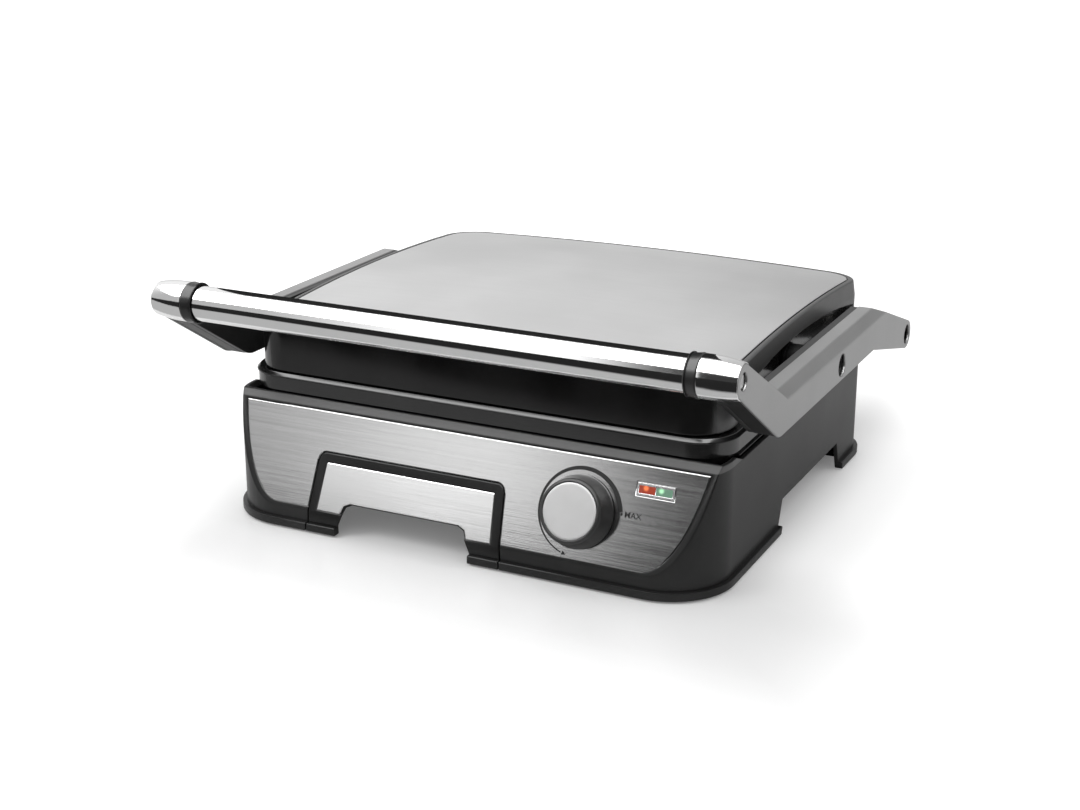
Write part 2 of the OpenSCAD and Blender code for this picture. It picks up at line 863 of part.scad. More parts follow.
module tray_pan() {
    r = 8;
    half = pan_w / 2;
    color([0.14, 0.14, 0.14]) translate([tray_x, 0, 0]) difference() {
        level(pan_z, pan_z + pan_h) plan(half, pan_front, pan_front + pan_l, r, r);
        level(pan_z + pan_wall, pan_z + pan_h + 1)
            plan(half - pan_wall, pan_front + pan_wall, pan_front + pan_l - pan_wall, r - pan_wall,
                r - pan_wall);
    }
}

// ---------------------------------------------------------------- knob

module on_knob_axis() {
    on_face() translate([knob_x, -knob_down, 0]) children();
}

knob_clear = 0.9;

module knob_body() {
    top = knob_h;
    color([0.09, 0.09, 0.09]) on_knob_axis() difference() {
        rotate_extrude() polygon([[0, knob_clear], [knob_r, knob_clear], [knob_r, knob_clear + 3],
            [knob_face_r + 2.6, top - 2], [knob_face_r + 1, top], [0, top]]);
        difference() {
            translate([0, 0, -1]) cylinder(h = top - 4, r = knob_face_r - 1);
            translate([0, 0, -2]) cylinder(h = top, r = spindle_r + 3);
        }
        translate([0, 0, -1]) cylinder(h = knob_clear + 3, r = spindle_r + 6.5);
        translate([0, 0, -1]) cylinder(h = top - 3.6, r = spindle_r);
        translate([0, 0, top - 1.2]) cylinder(h = 5, r = knob_face_r);
    }
}

module knob_cap() {
    color([0.75, 0.75, 0.75]) on_knob_axis() translate([0, 0, knob_h - 1.2])
        cylinder(h = 1.1, r = knob_face_r - 0.15);
}

module knob_spindle() {
    color("silver") on_knob_axis() translate([0, 0, -wall - spindle_deep])
        cylinder(h = knob_h - 4.7 + wall + spindle_deep, r = spindle_r);
}

// ---------------------------------------------------------------- handle and arms

function turn_to(from, to) = atan2(to[1] - from[1], to[0] - from[0]);

// Where a line from a point touches a circle, on the side given by +1 or -1.
function touch(from, centre, r, side) =
    let(d = norm(centre - from), a = turn_to(from, centre) + side * asin(r / d))
    from + sqrt(d * d - r * r) * [cos(a), sin(a)];

tube_axis = [tube_y, tube_z];
hinge_axis = [hinge_y, hinge_z];

// An arm's form from one X to another, drawn in by a distance: a strut to the handle, a straight
// beam and a tail to the hinge, with both ends round.
module arm_form(x_low, x_high, inset = 0) {
    elbow_top = [elbow_y, arm_top - inset];
    elbow_low = [elbow_y + inset * 0.3, arm_low + inset];
    bend_top = [bend_y, arm_top - inset];
    bend_low = [bend_y - 3, arm_low + inset];
    end_r = arm_end_r - inset;
    tail_r = boss_r - inset;
    union() {
        along_x(x_low, x_high) polygon([touch(elbow_top, tube_axis, end_r - blend, -1), elbow_top, bend_top,
            touch(bend_top, hinge_axis, tail_r - blend, 1), touch(bend_low, hinge_axis, tail_r - blend, -1),
            bend_low, elbow_low, touch(elbow_low, tube_axis, end_r - blend, 1)]);
        rod_x(x_low, x_high, tube_y, tube_z, end_r);
        rod_x(x_low, x_high, hinge_y, hinge_z, tail_r);
    }
}

// The bevel along the beam's outer top edge. It runs out on the line of the strut's top.
module beam_bevel(depth = 0) {
    bevel_w = 4;
    bevel_h = 8.5;
    elbow_top = [elbow_y, arm_top];
    strut = turn_to(touch(elbow_top, tube_axis, arm_end_r, -1), elbow_top);
    difference() {
        translate([arm_out - depth, 0, arm_top - bevel_h]) rotate([0, -atan(bevel_w / bevel_h), 0])
            translate([0, -far / 2, -bevel_w]) cube([far, far, far]);
        along_x(arm_mid - 20, arm_out + 20)
            translate(elbow_top) rotate(strut) translate([-far / 2, -far / 2]) square([far, far / 2]);
    }
}

// The room under the casting, open along its lower edge.
module cast_room(clear = 0) {
    inset = cast_wall + clear;
    union() {
        arm_form(arm_mid - 1, arm_out - inset, inset);
        intersection() {
            translate([0, 0, -2 * inset]) arm_form(arm_mid - 1, arm_out - inset, inset);
            arm_form(arm_mid - 2, arm_out, clear - 1);
        }
    }
}

module arm_cover() {
    color([0.62, 0.62, 0.62]) difference() {
        arm_form(arm_mid, arm_out);
        difference() {
            cast_room();
            beam_bevel(1.8);
        }
        beam_bevel();
        rod_x(arm_mid, arm_out + 1, tube_y, tube_z, front_hole_r);
        rod_x(arm_mid, arm_out + 1, pivot_y, pivot_z, pivot_hole_r);
        rod_x(arm_mid, arm_out + 1, hinge_y, hinge_z, hinge_hole_r);
    }
}

module arm_core() {
    color([0.08, 0.08, 0.08]) difference() {
        union() {
            arm_form(arm_in, arm_mid, 0.7);
            difference() {
                intersection() {
                    cast_room(core_gap);
                    arm_form(arm_mid - 2, arm_out, 0.5);
                }
                beam_bevel(1.8 + core_gap);
            }
        }
        rod_x(front_seat, arm_out, tube_y, tube_z, front_hole_r);
        rod_x(arm_in - 1, arm_out, tube_y, tube_z, screw_r + 0.3);
        rod_x(head_seat, arm_out, pivot_y, pivot_z, pivot_hole_r);
        rod_x(arm_in - 1, arm_out, pivot_y, pivot_z, bolt_r + bush_wall);
        rod_x(head_seat, arm_out, hinge_y, hinge_z, hinge_hole_r);
        rod_x(arm_in - 1, arm_out, hinge_y, hinge_z, hinge_bush_r);
    }
}

module arm_cover_left() {
    mirror([1, 0, 0]) arm_cover();
}

module arm_cover_right() {
    arm_cover();
}

module arm_core_left() {
    mirror([1, 0, 0]) arm_core();
}

module arm_core_right() {
    arm_core();
}

// A plain bearing bush through an arm, with its bore a running fit.
module bush(y, z, outer, bore) {
    difference() {
        rod_x(arm_in - bush_proud, head_seat, y, z, outer);
        rod_x(arm_in - 20, arm_out + 20, y, z, bore + run_fit);
    }
}

module hinge_bushes() {
    color([0.9, 0.9, 0.85]) pair() bush(hinge_y, hinge_z, hinge_bush_r, pin_r);
}

module pivot_bushes() {
    color([0.9, 0.9, 0.85]) pair() bush(pivot_y, pivot_z, bolt_r + bush_wall, bolt_r);
}

plug_r = 6;
plug_in = 12;

module handle_tube() {
    tube_wall = 1.5;
    color([0.8, 0.8, 0.8]) difference() {
        rod_x(-tube_half, tube_half, tube_y, tube_z, tube_r);
        rod_x(-far, far, tube_y, tube_z, tube_r - tube_wall);
    }
}

module handle_ring() {
    color([0.06, 0.06, 0.06]) difference() {
        rod_x(tube_half, tube_half + ring_w, tube_y, tube_z, ring_r);
        rod_x(0, far, tube_y, tube_z, plug_r);
    }
}

// The cap's barrelled outline from the ring to its outer end.
function barrel_r(t) = cap_r - (cap_r - cap_end_r) * pow(max(t - 0.2, 0) / 0.8, 2);

// The bright end cap. It closes round the arm's end, and a plug runs on into the tube.
module handle_cap() {
    steps = 8;
    end = arm_out - 0.3;
    length = end - cap_start;
    color([0.82, 0.82, 0.82]) difference() {
        translate([0, tube_y, tube_z]) rotate([0, 90, 0]) union() {
            rotate_extrude() polygon([[0, cap_start],
                for (i = [0 : steps]) [barrel_r(i / steps), cap_start + length * i / steps], [0, end]]);
            translate([0, 0, cap_start - ring_w - plug_in]) cylinder(h = ring_w + plug_in + 1, r = plug_r);
        }
        arm_form(arm_in - cap_clear, arm_out + 1, -cap_clear);
        rod_x(cap_start - ring_w - 6, arm_out, tube_y, tube_z, screw_r);
    }
}

module handle_ring_left() {
    mirror([1, 0, 0]) handle_ring();
}

module handle_ring_right() {
    handle_ring();
}

module handle_cap_left() {
    mirror([1, 0, 0]) handle_cap();
}

module handle_cap_right() {
    handle_cap();
}

module handle_screws() {
    color("silver") pair() translate([front_seat, tube_y, tube_z]) rotate([0, -90, 0])
        screw(front_seat - cap_start + ring_w + 4, screw_r, 4.2, 2);
}

// ---------------------------------------------------------------- lid

// The crowned upper limit of the lid, lowered by a depth.
module under_crown(depth = 0) {
    translate([0, lid_cy + crown_back, lid_top - crown_across]) rotate([90, 0, 0])
        rotate_extrude($fn = 480) translate([crown_across - crown_r, 0]) circle(crown_r - depth, $fn = 240);
}

// The lid's outer form, drawn in by a wall.
module lid_form(inset = 0) {
    shoulder = lid_z + 0.55 * lid_h;
    intersection() {
        hull() {
            level(lid_z, shoulder - inset / 2) lid_plan(lid_in + inset);
            level(lid_top - 8, lid_top + 4) lid_plan(lid_draw + inset);
        }
        under_crown(inset);
    }
}

arch_r = 684;
arch_half = 118;
arch_up = 15.3;
arch_y = pivot_y + 10;

// The arched recess in the lid's side that clears the arm's pivot.
module side_recess(grow = 0) {
    arch_top = pivot_z + arch_up + grow;
    half = arch_half + grow;
    along_x(lid_w / 2 - recess - grow, lid_w / 2 + 10) intersection() {
        translate([arch_y, arch_top - arch_r]) circle(arch_r, $fn = 240);
        translate([arch_y - half, 0]) square([2 * half, far]);
    }
}

// Plan of the lid's open underside, drawn in by a distance.
module mouth_plan(inset = 0) {
    plan(mouth - inset, lid_front + mouth_front + inset, lid_rear - mouth_rear - inset, mouth_corner,
        mouth_corner);
}

module lid_shell() {
    color([0.07, 0.07, 0.07]) difference() {
        lid_form();
        difference() {
            lid_cavity();
            pair() side_recess(lid_wall);
        }
        plate_pocket();
        pair() side_recess();
        level(lid_z - 1, lid_z + lid_wall + 1) mouth_plan();
        pair() rod_x(lid_w / 2 - 20, lid_w / 2 + 20, pivot_y, pivot_z, bolt_r + 0.3);
    }
}

// The sunk place of the steel top plate, with the seam round it.
module plate_pocket() {
    difference() {
        level(lid_z + 10, lid_top + 10) lid_plan(lid_draw + bezel - seam_w);
        under_crown(top_skin + plate_seat);
    }
}

module lid_cavity() {
    intersection() {
        level(lid_z + lid_wall, lid_top) lid_plan(lid_draw + lid_wall);
        under_crown(top_skin + lid_wall);
    }
}

module lid_top_plate() {
    color([0.8, 0.8, 0.79]) intersection() {
        level(lid_z + 10, lid_top + 10) lid_plan(lid_draw + bezel);
        difference() {
            under_crown();
            under_crown(top_skin);
        }
    }
}

block_out = arm_in - bush_proud - 0.4;

module lid_pivot_blocks() {
    wall_in = lid_w / 2 - recess;
    color([0.1, 0.1, 0.1]) pair() difference() {
        union() {
            rod_x(wall_in, block_out, pivot_y, pivot_z, bolt_r + 6);
            rod_x(wall_in, wall_in + 3, pivot_y, pivot_z, bolt_r + 7);
        }
        rod_x(wall_in - 20, far, pivot_y, pivot_z, bolt_r);
    }
}

module pivot_bolts() {
    color("silver") pair() {
        rod_x(mouth - 5, head_seat + 0.3, pivot_y, pivot_z, bolt_r);
        rod_x(head_seat + 0.2, head_seat + head_t, pivot_y, pivot_z, bolt_r + 2.2);
        translate([mouth - 3.2, pivot_y, pivot_z]) rotate([0, 90, 0])
            cylinder(h = 3.2, r = bolt_r + 3, $fn = 6);
    }
}

// What sits in the lid is the lower set turned over about the level between the plates.
module turned_over() {
    translate([0, 0, 2 * mid_z]) mirror([0, 0, 1]) children();
}

module upper_surround() {
    low = lid_z;
    high = 2 * mid_z - ledge_z;
    color([0.08, 0.08, 0.08]) difference() {
        union() {
            level(low, low + 4) mouth_plan(seam);
            level(low + lid_wall + 1, high) plate_plan(plate_fit + 2.4);
        }
        level(low - 1, 2 * mid_z - plate_z) plate_plan(plate_fit);
        level(low - 1, high + 1) plate_plan(-ledge_w);
    }
}

module upper_grill_plate() {
    color([0.16, 0.16, 0.16]) turned_over() grill_plate();
}

module upper_element() {
    color([0.45, 0.42, 0.4]) turned_over() element();
}

module upper_reflector() {
    color([0.75, 0.75, 0.76]) turned_over() reflector();
}

module upper_plate_screws() {
    color("silver") turned_over() plate_screws();
}

// ---------------------------------------------------------------- the whole grill

base_housing();
front_fascia();
bottom_cover();
rubber_feet();
cover_screws();
lower_surround();
lower_grill_plate();
lower_element();
lower_reflector();
lower_plate_screws();
thermostat_body();
thermostat_nut();
indicator_frame();
red_lens();
green_lens();
lamp_holder();
indicator_lamps();
terminal_block();
cord_gland();
tray_runners();
hinge_bracket_left();
hinge_bracket_right();
hinge_pins();
bracket_screws();
tray_pan();
tray_front();
tray_fascia();
knob_body();
knob_cap();
knob_spindle();
arm_cover_left();
arm_cover_right();
arm_core_left();
arm_core_right();
handle_tube();
handle_ring_left();
handle_ring_right();
handle_cap_left();
handle_cap_right();
handle_screws();
hinge_bushes();
pivot_bushes();
lid_shell();
lid_top_plate();
lid_pivot_blocks();
pivot_bolts();
upper_surround();
upper_grill_plate();
upper_element();
upper_reflector();
upper_plate_screws();
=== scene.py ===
"""Studio scene of an electric indoor grill with a hinged, floating lid.

Lengths are written in millimetres and become metres when a mesh is placed. +Z is up, the front faces
-Y, and the origin is on the table under the middle of the object.
"""

import logging
import math
from dataclasses import dataclass, field
from enum import Enum
from typing import Callable, Dict, List, Optional, Sequence, Tuple, Union

import bmesh
import bpy
from mathutils import Matrix, Vector


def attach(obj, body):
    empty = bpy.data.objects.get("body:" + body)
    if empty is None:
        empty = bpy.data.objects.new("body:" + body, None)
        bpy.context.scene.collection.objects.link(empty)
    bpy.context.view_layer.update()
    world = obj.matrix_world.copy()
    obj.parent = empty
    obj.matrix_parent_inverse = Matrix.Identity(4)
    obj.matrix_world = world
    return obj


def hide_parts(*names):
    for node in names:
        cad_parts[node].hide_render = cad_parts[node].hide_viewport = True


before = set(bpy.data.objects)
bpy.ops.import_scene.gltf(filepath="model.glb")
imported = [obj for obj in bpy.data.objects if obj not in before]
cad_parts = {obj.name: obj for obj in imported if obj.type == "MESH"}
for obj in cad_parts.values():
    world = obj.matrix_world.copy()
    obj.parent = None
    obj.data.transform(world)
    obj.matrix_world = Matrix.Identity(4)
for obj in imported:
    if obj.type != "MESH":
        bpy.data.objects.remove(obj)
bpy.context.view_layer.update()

LOG = logging.getLogger("grill")
MM = 0.001
# The face attribute that marks the rounded edges.
EDGE_MARK = "edge"

Triple = Tuple[float, float, float]
Point2 = Tuple[float, float]
Colour = Tuple[float, float, float]
Node = bpy.types.Node
Socket = bpy.types.NodeSocket
Edge = bmesh.types.BMEdge
Thing = bpy.types.Object
Sockets = Dict[Union[str, int], object]


def grey(level: float) -> Colour:
    """A neutral linear colour from a screen level of 0 to 255."""
    c = level / 255.0
    linear = c / 12.92 if c <= 0.04045 else ((c + 0.055) / 1.055) ** 2.4
    return (linear,) * 3


def tint(red: float, green: float, blue: float) -> Colour:
    """A linear colour from screen levels of 0 to 255."""
    return (grey(red)[0], grey(green)[0], grey(blue)[0])


# ---- shader building


class Signal:
    """A number that changes over a surface. Python's operators on it add the shader's Math nodes."""

    def __init__(self, recipe: "Recipe", socket: Socket) -> None:
        """Wraps one output socket of a recipe's node tree."""
        self.recipe = recipe
        self.socket = socket

    def _with(self, operation: str, first: object, second: object) -> "Signal":
        """The result of a Math node on two numbers or Signals."""
        return self.recipe.signal("ShaderNodeMath", {"operation": operation}, {0: first, 1: second})

    def __add__(self, other: object) -> "Signal":
        """The sum of this and another value."""
        return self._with("ADD", self, other)

    __radd__ = __add__

    def __sub__(self, other: object) -> "Signal":
        """This less another value."""
        return self._with("SUBTRACT", self, other)

    def __rsub__(self, other: object) -> "Signal":
        """Another value less this."""
        return self._with("SUBTRACT", other, self)

    def __mul__(self, other: object) -> "Signal":
        """The product of this and another value."""
        return self._with("MULTIPLY", self, other)

    def __abs__(self) -> "Signal":
        """This without its sign."""
        return self._with("ABSOLUTE", self, 0.0)

    def or_more(self, other: object) -> "Signal":
        """The larger of this and another value."""
        return self._with("MAXIMUM", self, other)

    def ramp(self, low: float, high: float, to_low: float = 0.0, to_high: float = 1.0) -> "Signal":
        """Maps a range of this onto another range, smoothly and without passing its ends.

        Args:
            low: The value of this that gives to_low.
            high: The value of this that gives to_high.
            to_low: The result at and below low.
            to_high: The result at and above high.

        Returns:
            The mapped value.
        """
        return self.recipe.signal(
            "ShaderNodeMapRange",
            {"interpolation_type": "SMOOTHSTEP", "clamp": True},
            {"Value": self, "From Min": low, "From Max": high, "To Min": to_low, "To Max": to_high},
        )


class Recipe:
    """The node tree of one material or world, and the ways to add nodes to it."""

    def __init__(self, owner: Union[bpy.types.Material, bpy.types.World]) -> None:
        """Empties the owner's node tree."""
        owner.use_nodes = True
        self.owner = owner
        self.tree = owner.node_tree
        self.tree.nodes.clear()

    @classmethod
    def material(cls, name: str) -> "Recipe":
        """A recipe for a new material of this name."""
        return cls(bpy.data.materials.new(name))

    def node(
        self, kind: str, settings: Optional[Dict[str, object]] = None, inputs: Optional[Sockets] = None
    ) -> Node:
        """Adds a node.

        Args:
            kind: The node's type.
            settings: Its settings, set before its sockets.
            inputs: Numbers, colours, sockets, nodes or Signals for its sockets, by name or place.

        Returns:
            The node.
        """
        node = self.tree.nodes.new(kind)
        for key, value in (settings or {}).items():
            setattr(node, key, value)
        for key, value in (inputs or {}).items():
            self._feed(node.inputs[key], value)
        return node

    def _feed(self, socket: Socket, value: object) -> None:
        """Gives a socket its value or its link."""
        if isinstance(value, Signal):
            self.tree.links.new(value.socket, socket)
        elif isinstance(value, Node):
            self.tree.links.new(value.outputs[0], socket)
        elif isinstance(value, Socket):
            self.tree.links.new(value, socket)
        elif socket.type == "RGBA" and len(value) == 3:
            socket.default_value = (*value, 1.0)
        else:
            socket.default_value = value

    def signal(
        self,
        kind: str,
        settings: Optional[Dict[str, object]] = None,
        inputs: Optional[Sockets] = None,
        output: Union[str, int] = 0,
    ) -> Signal:
        """Adds a node and gives one of its outputs as a Signal."""
        return Signal(self, self.node(kind, settings, inputs).outputs[output])

    def axes(self, where: object) -> List[Signal]:
        """The X, Y and Z of a place or a direction."""
        apart = self.node("ShaderNodeSeparateXYZ", inputs={"Vector": where})
        return [Signal(self, socket) for socket in apart.outputs]

    def places(
        self, scale: Triple = (1, 1, 1), turn: Triple = (0, 0, 0), centre: Triple = (0, 0, 0)
    ) -> Node:
        """The surface's own places.

        Args:
            scale: What each axis is multiplied by, after the turn.
            turn: The turn in degrees round X, Y and Z.
            centre: The place, in millimetres, that becomes the pattern's origin.

        Returns:
            The last Mapping node.
        """
        where = self.node("ShaderNodeTexCoord").outputs["Object"]
        for change, value in (
            ("Location", [-c * MM for c in centre]),
            ("Rotation", [math.radians(a) for a in turn]),
            ("Scale", scale),
        ):
            where = self.node("ShaderNodeMapping", {"vector_type": "POINT"}, {"Vector": where, change: value})
        return where

    def distance(self, where: Node) -> Signal:
        """The distance of these places from their origin, in metres."""
        return self.signal("ShaderNodeVectorMath", {"operation": "LENGTH"}, {0: where}, "Value")

    def noise(self, where: Node, scale: float, detail: float = 3.0, rough: float = 0.5) -> Signal:
        """A noise of this many waves to a metre, at these places."""
        return self.signal(
            "ShaderNodeTexNoise",
            {"noise_dimensions": "3D"},
            {"Vector": where, "Scale": scale, "Detail": detail, "Roughness": rough},
        )

    def blend(self, factor: object, first: object, second: object) -> Socket:
        """Mixes two colours.

        Args:
            factor: The share of the second colour.
            first: The first colour, or its socket.
            second: The second colour, or its socket.

        Returns:
            The mixed colour's socket.
        """
        mix = self.node("ShaderNodeMix", {"data_type": "RGBA", "blend_type": "MIX", "clamp_factor": True})
        self._feed(mix.inputs[0], factor)
        self._feed(mix.inputs[6], first)
        self._feed(mix.inputs[7], second)
        return mix.outputs[2]

    def relief(self, height: Signal, depth_mm: float, strength: float = 1.0) -> Node:
        """A Bump node that stands a height of 0 to 1 this many millimetres out of the surface."""
        values = {"Height": height, "Distance": depth_mm * MM, "Strength": strength}
        return self.node("ShaderNodeBump", inputs=values)

    def ray(self, kind: str) -> Signal:
        """1 for rays of this kind, and 0 for others."""
        return self.signal("ShaderNodeLightPath", output=f"Is {kind} Ray")

    def edges(self) -> Signal:
        """1 on the faces of the rounded edges, and 0 elsewhere."""
        return self.signal("ShaderNodeAttribute", {"attribute_name": EDGE_MARK}, output="Fac")

    def worn_edges(self, where: Node) -> Signal:
        """The share of wear, from 0 to 1: patchy along the rounded edges, and none elsewhere."""
        return self.edges() * self.noise(where, 160.0, 2.0).ramp(0.35, 0.7)

    def close(self, inputs: Sockets) -> bpy.types.Material:
        """Ends the recipe in a Principled shader with these sockets, and gives the material."""
        shader = self.node("ShaderNodeBsdfPrincipled", inputs=inputs)
        self.node("ShaderNodeOutputMaterial", inputs={"Surface": shader.outputs["BSDF"]})
        return self.owner


# ---- finishes


@dataclass(frozen=True)
class Finish:
    """The look of a surface. Each kind says what its shader's sockets hold."""

    name: str
    colour: Colour

    def make(self) -> bpy.types.Material:
        """Makes the material."""
        recipe = Recipe.material(self.name)
        return recipe.close(self.sockets(recipe))

    def sockets(self, r: Recipe) -> Sockets:
        """Adds the kind's nodes to a recipe, and gives the shader's values."""
        raise NotImplementedError

    def shade(self, factor: float, lift: float = 0.0) -> Colour:
        """The colour times a factor, with a lift added, up to white."""
        return tuple(min(c * factor + lift, 1.0) for c in self.colour)


@dataclass(frozen=True)
class MouldedPlastic(Finish):
    """Injection-moulded plastic with a fine spark-eroded grain."""

    roughness: float = 0.42
    grain_mm: float = 0.03
    grain_scale: float = 1500.0
    specular: float = 0.5

    def sockets(self, r: Recipe) -> Sockets:
        """The shader's values."""
        where = r.places()
        cloud = r.noise(where, 22.0, 3.0)
        grain = r.noise(where, self.grain_scale, 2.0, 0.6)
        wear = r.worn_edges(where)
        tone = r.blend(cloud.ramp(0.3, 0.75), self.colour, self.shade(1.25, 0.004))
        tone = r.blend(wear * 0.45, tone, self.shade(1.8, 0.02))
        rough = self.roughness + (cloud - 0.5) * 0.12 + (grain - 0.5) * 0.08 - wear * 0.06
        return {
            "Base Color": self._toned(r, tone),
            "Roughness": rough * self._dullness(r),
            "Normal": r.relief(grain, self.grain_mm),
            "Specular IOR Level": self.specular,
        }

    def _toned(self, r: Recipe, tone: Socket) -> Socket:
        """The colour, the same all over."""
        return tone

    def _dullness(self, r: Recipe) -> Union[float, Signal]:
        """The factor on the roughness, the same all over."""
        return 1.0


@dataclass(frozen=True)
class HousingPlastic(MouldedPlastic):
    """The housing's plastic, with a painted highlight: its shoulder band is coloured paler."""

    shoulder_low: float = 78.6
    shoulder_high: float = 82.6
    fade: float = 0.3
    # The colour of the painted highlight on the shoulder band.
    shoulder_highlight_tone: Colour = grey(84)

    def _toned(self, r: Recipe, tone: Socket) -> Socket:
        """The colour, painted paler on the shoulder band as a highlight."""
        height = r.axes(r.places())[2] * (1 / MM)
        above = height.ramp(self.shoulder_low - self.fade, self.shoulder_low + self.fade)
        below = height.ramp(self.shoulder_high - self.fade, self.shoulder_high + self.fade, 1.0, 0.0)
        # The shoulder band's paler tone is a painted highlight.
        return r.blend(above * below, tone, self.shoulder_highlight_tone)


@dataclass(frozen=True)
class LidPlastic(MouldedPlastic):
    """The lid's plastic, polished in front and paler with a satin finish on its two sides; the side recesses
    keep the dark front tone as painted shade.
    """

    # The sides' tone starts just outside the recess floor at 160 mm, so the recesses keep painted shade.
    side_from: float = 159.5
    side_to: float = 164.5
    side_tone: Colour = grey(74)
    side_dull: float = 1.2

    def _toned(self, r: Recipe, tone: Socket) -> Socket:
        """The colour, paler on the sides, and left dark in the side recesses as painted shade."""
        return r.blend(self._beside(r), tone, self.side_tone)

    def _dullness(self, r: Recipe) -> Union[float, Signal]:
        """The factor on the roughness, larger on the sides."""
        return self._beside(r) * self.side_dull + 1.0

    def _beside(self, r: Recipe) -> Signal:
        """The share of the sides' finish, from 0 to 1; near 0 in the side recesses, which stay dark as
        painted shade.
        """
        across = abs(r.axes(r.places())[0]) * (1 / MM)
        return across.ramp(self.side_from, self.side_to)


@dataclass(frozen=True)
class BrushedSteel(Finish):
    """Stainless sheet brushed along X, with a painted highlight: paler and duller on its rounded edges."""

    roughness: float = 0.33
    streak: float = 0.14
    scratch_mm: float = 0.11
    edge_highlight_tone: Colour = grey(253)
    edge_dull: float = 0.35

    def sockets(self, r: Recipe) -> Sockets:
        """The shader's values."""
        hair = r.noise(r.places(scale=(7.0, 420.0, 420.0)), 1.0, 4.0, 0.62)
        scratch = r.noise(r.places(scale=(26.0, 1500.0, 1500.0)), 1.0, 3.0, 0.6)
        smear = r.noise(r.places(scale=(1.0, 3.0, 3.0)), 9.0, 2.0)
        dark = self.shade(1 - self.streak)
        light = self.shade(1 + self.streak * 0.6)
        tone = r.blend(hair.ramp(0.28, 0.72), dark, light)
        tone = r.blend(scratch.ramp(0.3, 0.75) * 0.35, tone, light)
        edge = r.edges()
        # The rounded edges are painted paler: a painted highlight.
        tone = r.blend(edge, tone, self.edge_highlight_tone)
        rough = self.roughness + (hair - 0.5) * 0.1 + (scratch - 0.5) * 0.06 + (smear - 0.5) * 0.04
        rough = rough + edge * self.edge_dull
        return {
            "Base Color": tone,
            "Roughness": rough,
            "Metallic": 1.0,
            "Normal": r.relief(hair * 0.4 + scratch * 0.6, self.scratch_mm, 0.7),
        }


@dataclass(frozen=True)
class SatinSheet(Finish):
    """Bead-blasted steel sheet: an even satin with faint clouds and fingermarks."""

    roughness: float = 0.36

    def sockets(self, r: Recipe) -> Sockets:
        """The shader's values."""
        where = r.places()
        cloud = r.noise(where, 7.0, 4.0, 0.55)
        blast = r.noise(where, 2600.0, 2.0, 0.6)
        rub = r.noise(r.places(scale=(14.0, 260.0, 260.0)), 1.0, 3.0)
        dark = self.shade(0.93)
        light = self.shade(1.04)
        tone = r.blend(cloud.ramp(0.3, 0.7), dark, light)
        tone = r.blend(rub.ramp(0.4, 0.8) * 0.2, tone, dark)
        rough = self.roughness + (cloud - 0.5) * 0.1 + (blast - 0.5) * 0.12 + (rub - 0.5) * 0.05
        return {
            "Base Color": tone,
            "Roughness": rough,
            "Metallic": 1.0,
            "Normal": r.relief(blast, 0.012, 0.6),
        }


@dataclass(frozen=True)
class Chrome(Finish):
    """Bright plated metal with a few faint rub marks."""

    roughness: float = 0.06

    def sockets(self, r: Recipe) -> Sockets:
        """The shader's values."""
        smudge = r.noise(r.places(), 26.0, 4.0, 0.6)
        rub = r.noise(r.places(scale=(30.0, 900.0, 900.0)), 1.0, 3.0)
        return {
            "Base Color": r.blend(smudge.ramp(0.45, 0.8) * 0.5, self.colour, self.shade(0.93)),
            "Roughness": self.roughness + smudge.ramp(0.4, 0.8) * 0.05 + rub.ramp(0.5, 0.9) * 0.04,
            "Metallic": 1.0,
        }


@dataclass(frozen=True)
class SatinCasting(Finish):
    """Die-cast alloy under a satin silver finish, with rubbed edges."""

    roughness: float = 0.38

    def sockets(self, r: Recipe) -> Sockets:
        """The shader's values."""
        where = r.places()
        cloud = r.noise(where, 18.0, 3.0, 0.5)
        grit = r.noise(where, 1300.0, 3.0, 0.6)
        wear = r.worn_edges(where)
        tone = r.blend(cloud.ramp(0.28, 0.72), self.shade(0.94), self.shade(1.04))
        tone = r.blend(wear * 0.8, tone, self.shade(1.35))
        rough = self.roughness + (cloud - 0.5) * 0.06 + (grit - 0.5) * 0.1 - wear * 0.1
        return {
            "Base Color": tone,
            "Roughness": rough,
            "Metallic": 1.0,
            "Normal": r.relief(grit, 0.02, 0.6),
        }


@dataclass(frozen=True)
class NonStick(Finish):
    """Speckled non-stick coating on cast aluminium."""

    def sockets(self, r: Recipe) -> Sockets:
        """The shader's values."""
        where = r.places()
        fleck = r.noise(where, 1700.0, 2.0, 0.7)
        cloud = r.noise(where, 34.0, 3.0)
        orange_peel = r.noise(where, 620.0, 2.0)
        pale = self.shade(3.2, 0.03)
        tone = r.blend(fleck.ramp(0.66, 0.74) * 0.5, self.colour, pale)
        tone = r.blend(r.worn_edges(where) * 0.3, tone, pale)
        return {
            "Base Color": tone,
            "Roughness": 0.4 + (cloud - 0.5) * 0.14 + (orange_peel - 0.5) * 0.1,
            "Normal": r.relief(orange_peel * 0.7 + fleck * 0.3, 0.05),
        }


@dataclass(frozen=True)
class Rubber(Finish):
    """Matt black rubber with dust in its pores."""

    def sockets(self, r: Recipe) -> Sockets:
        """The shader's values."""
        pore = r.noise(r.places(), 900.0, 4.0, 0.7)
        return {
            "Base Color": r.blend(pore.ramp(0.5, 0.8) * 0.5, self.colour, self.shade(2.0, 0.01)),
            "Roughness": 0.75 + (pore - 0.5) * 0.15,
            "Normal": r.relief(pore, 0.06),
        }


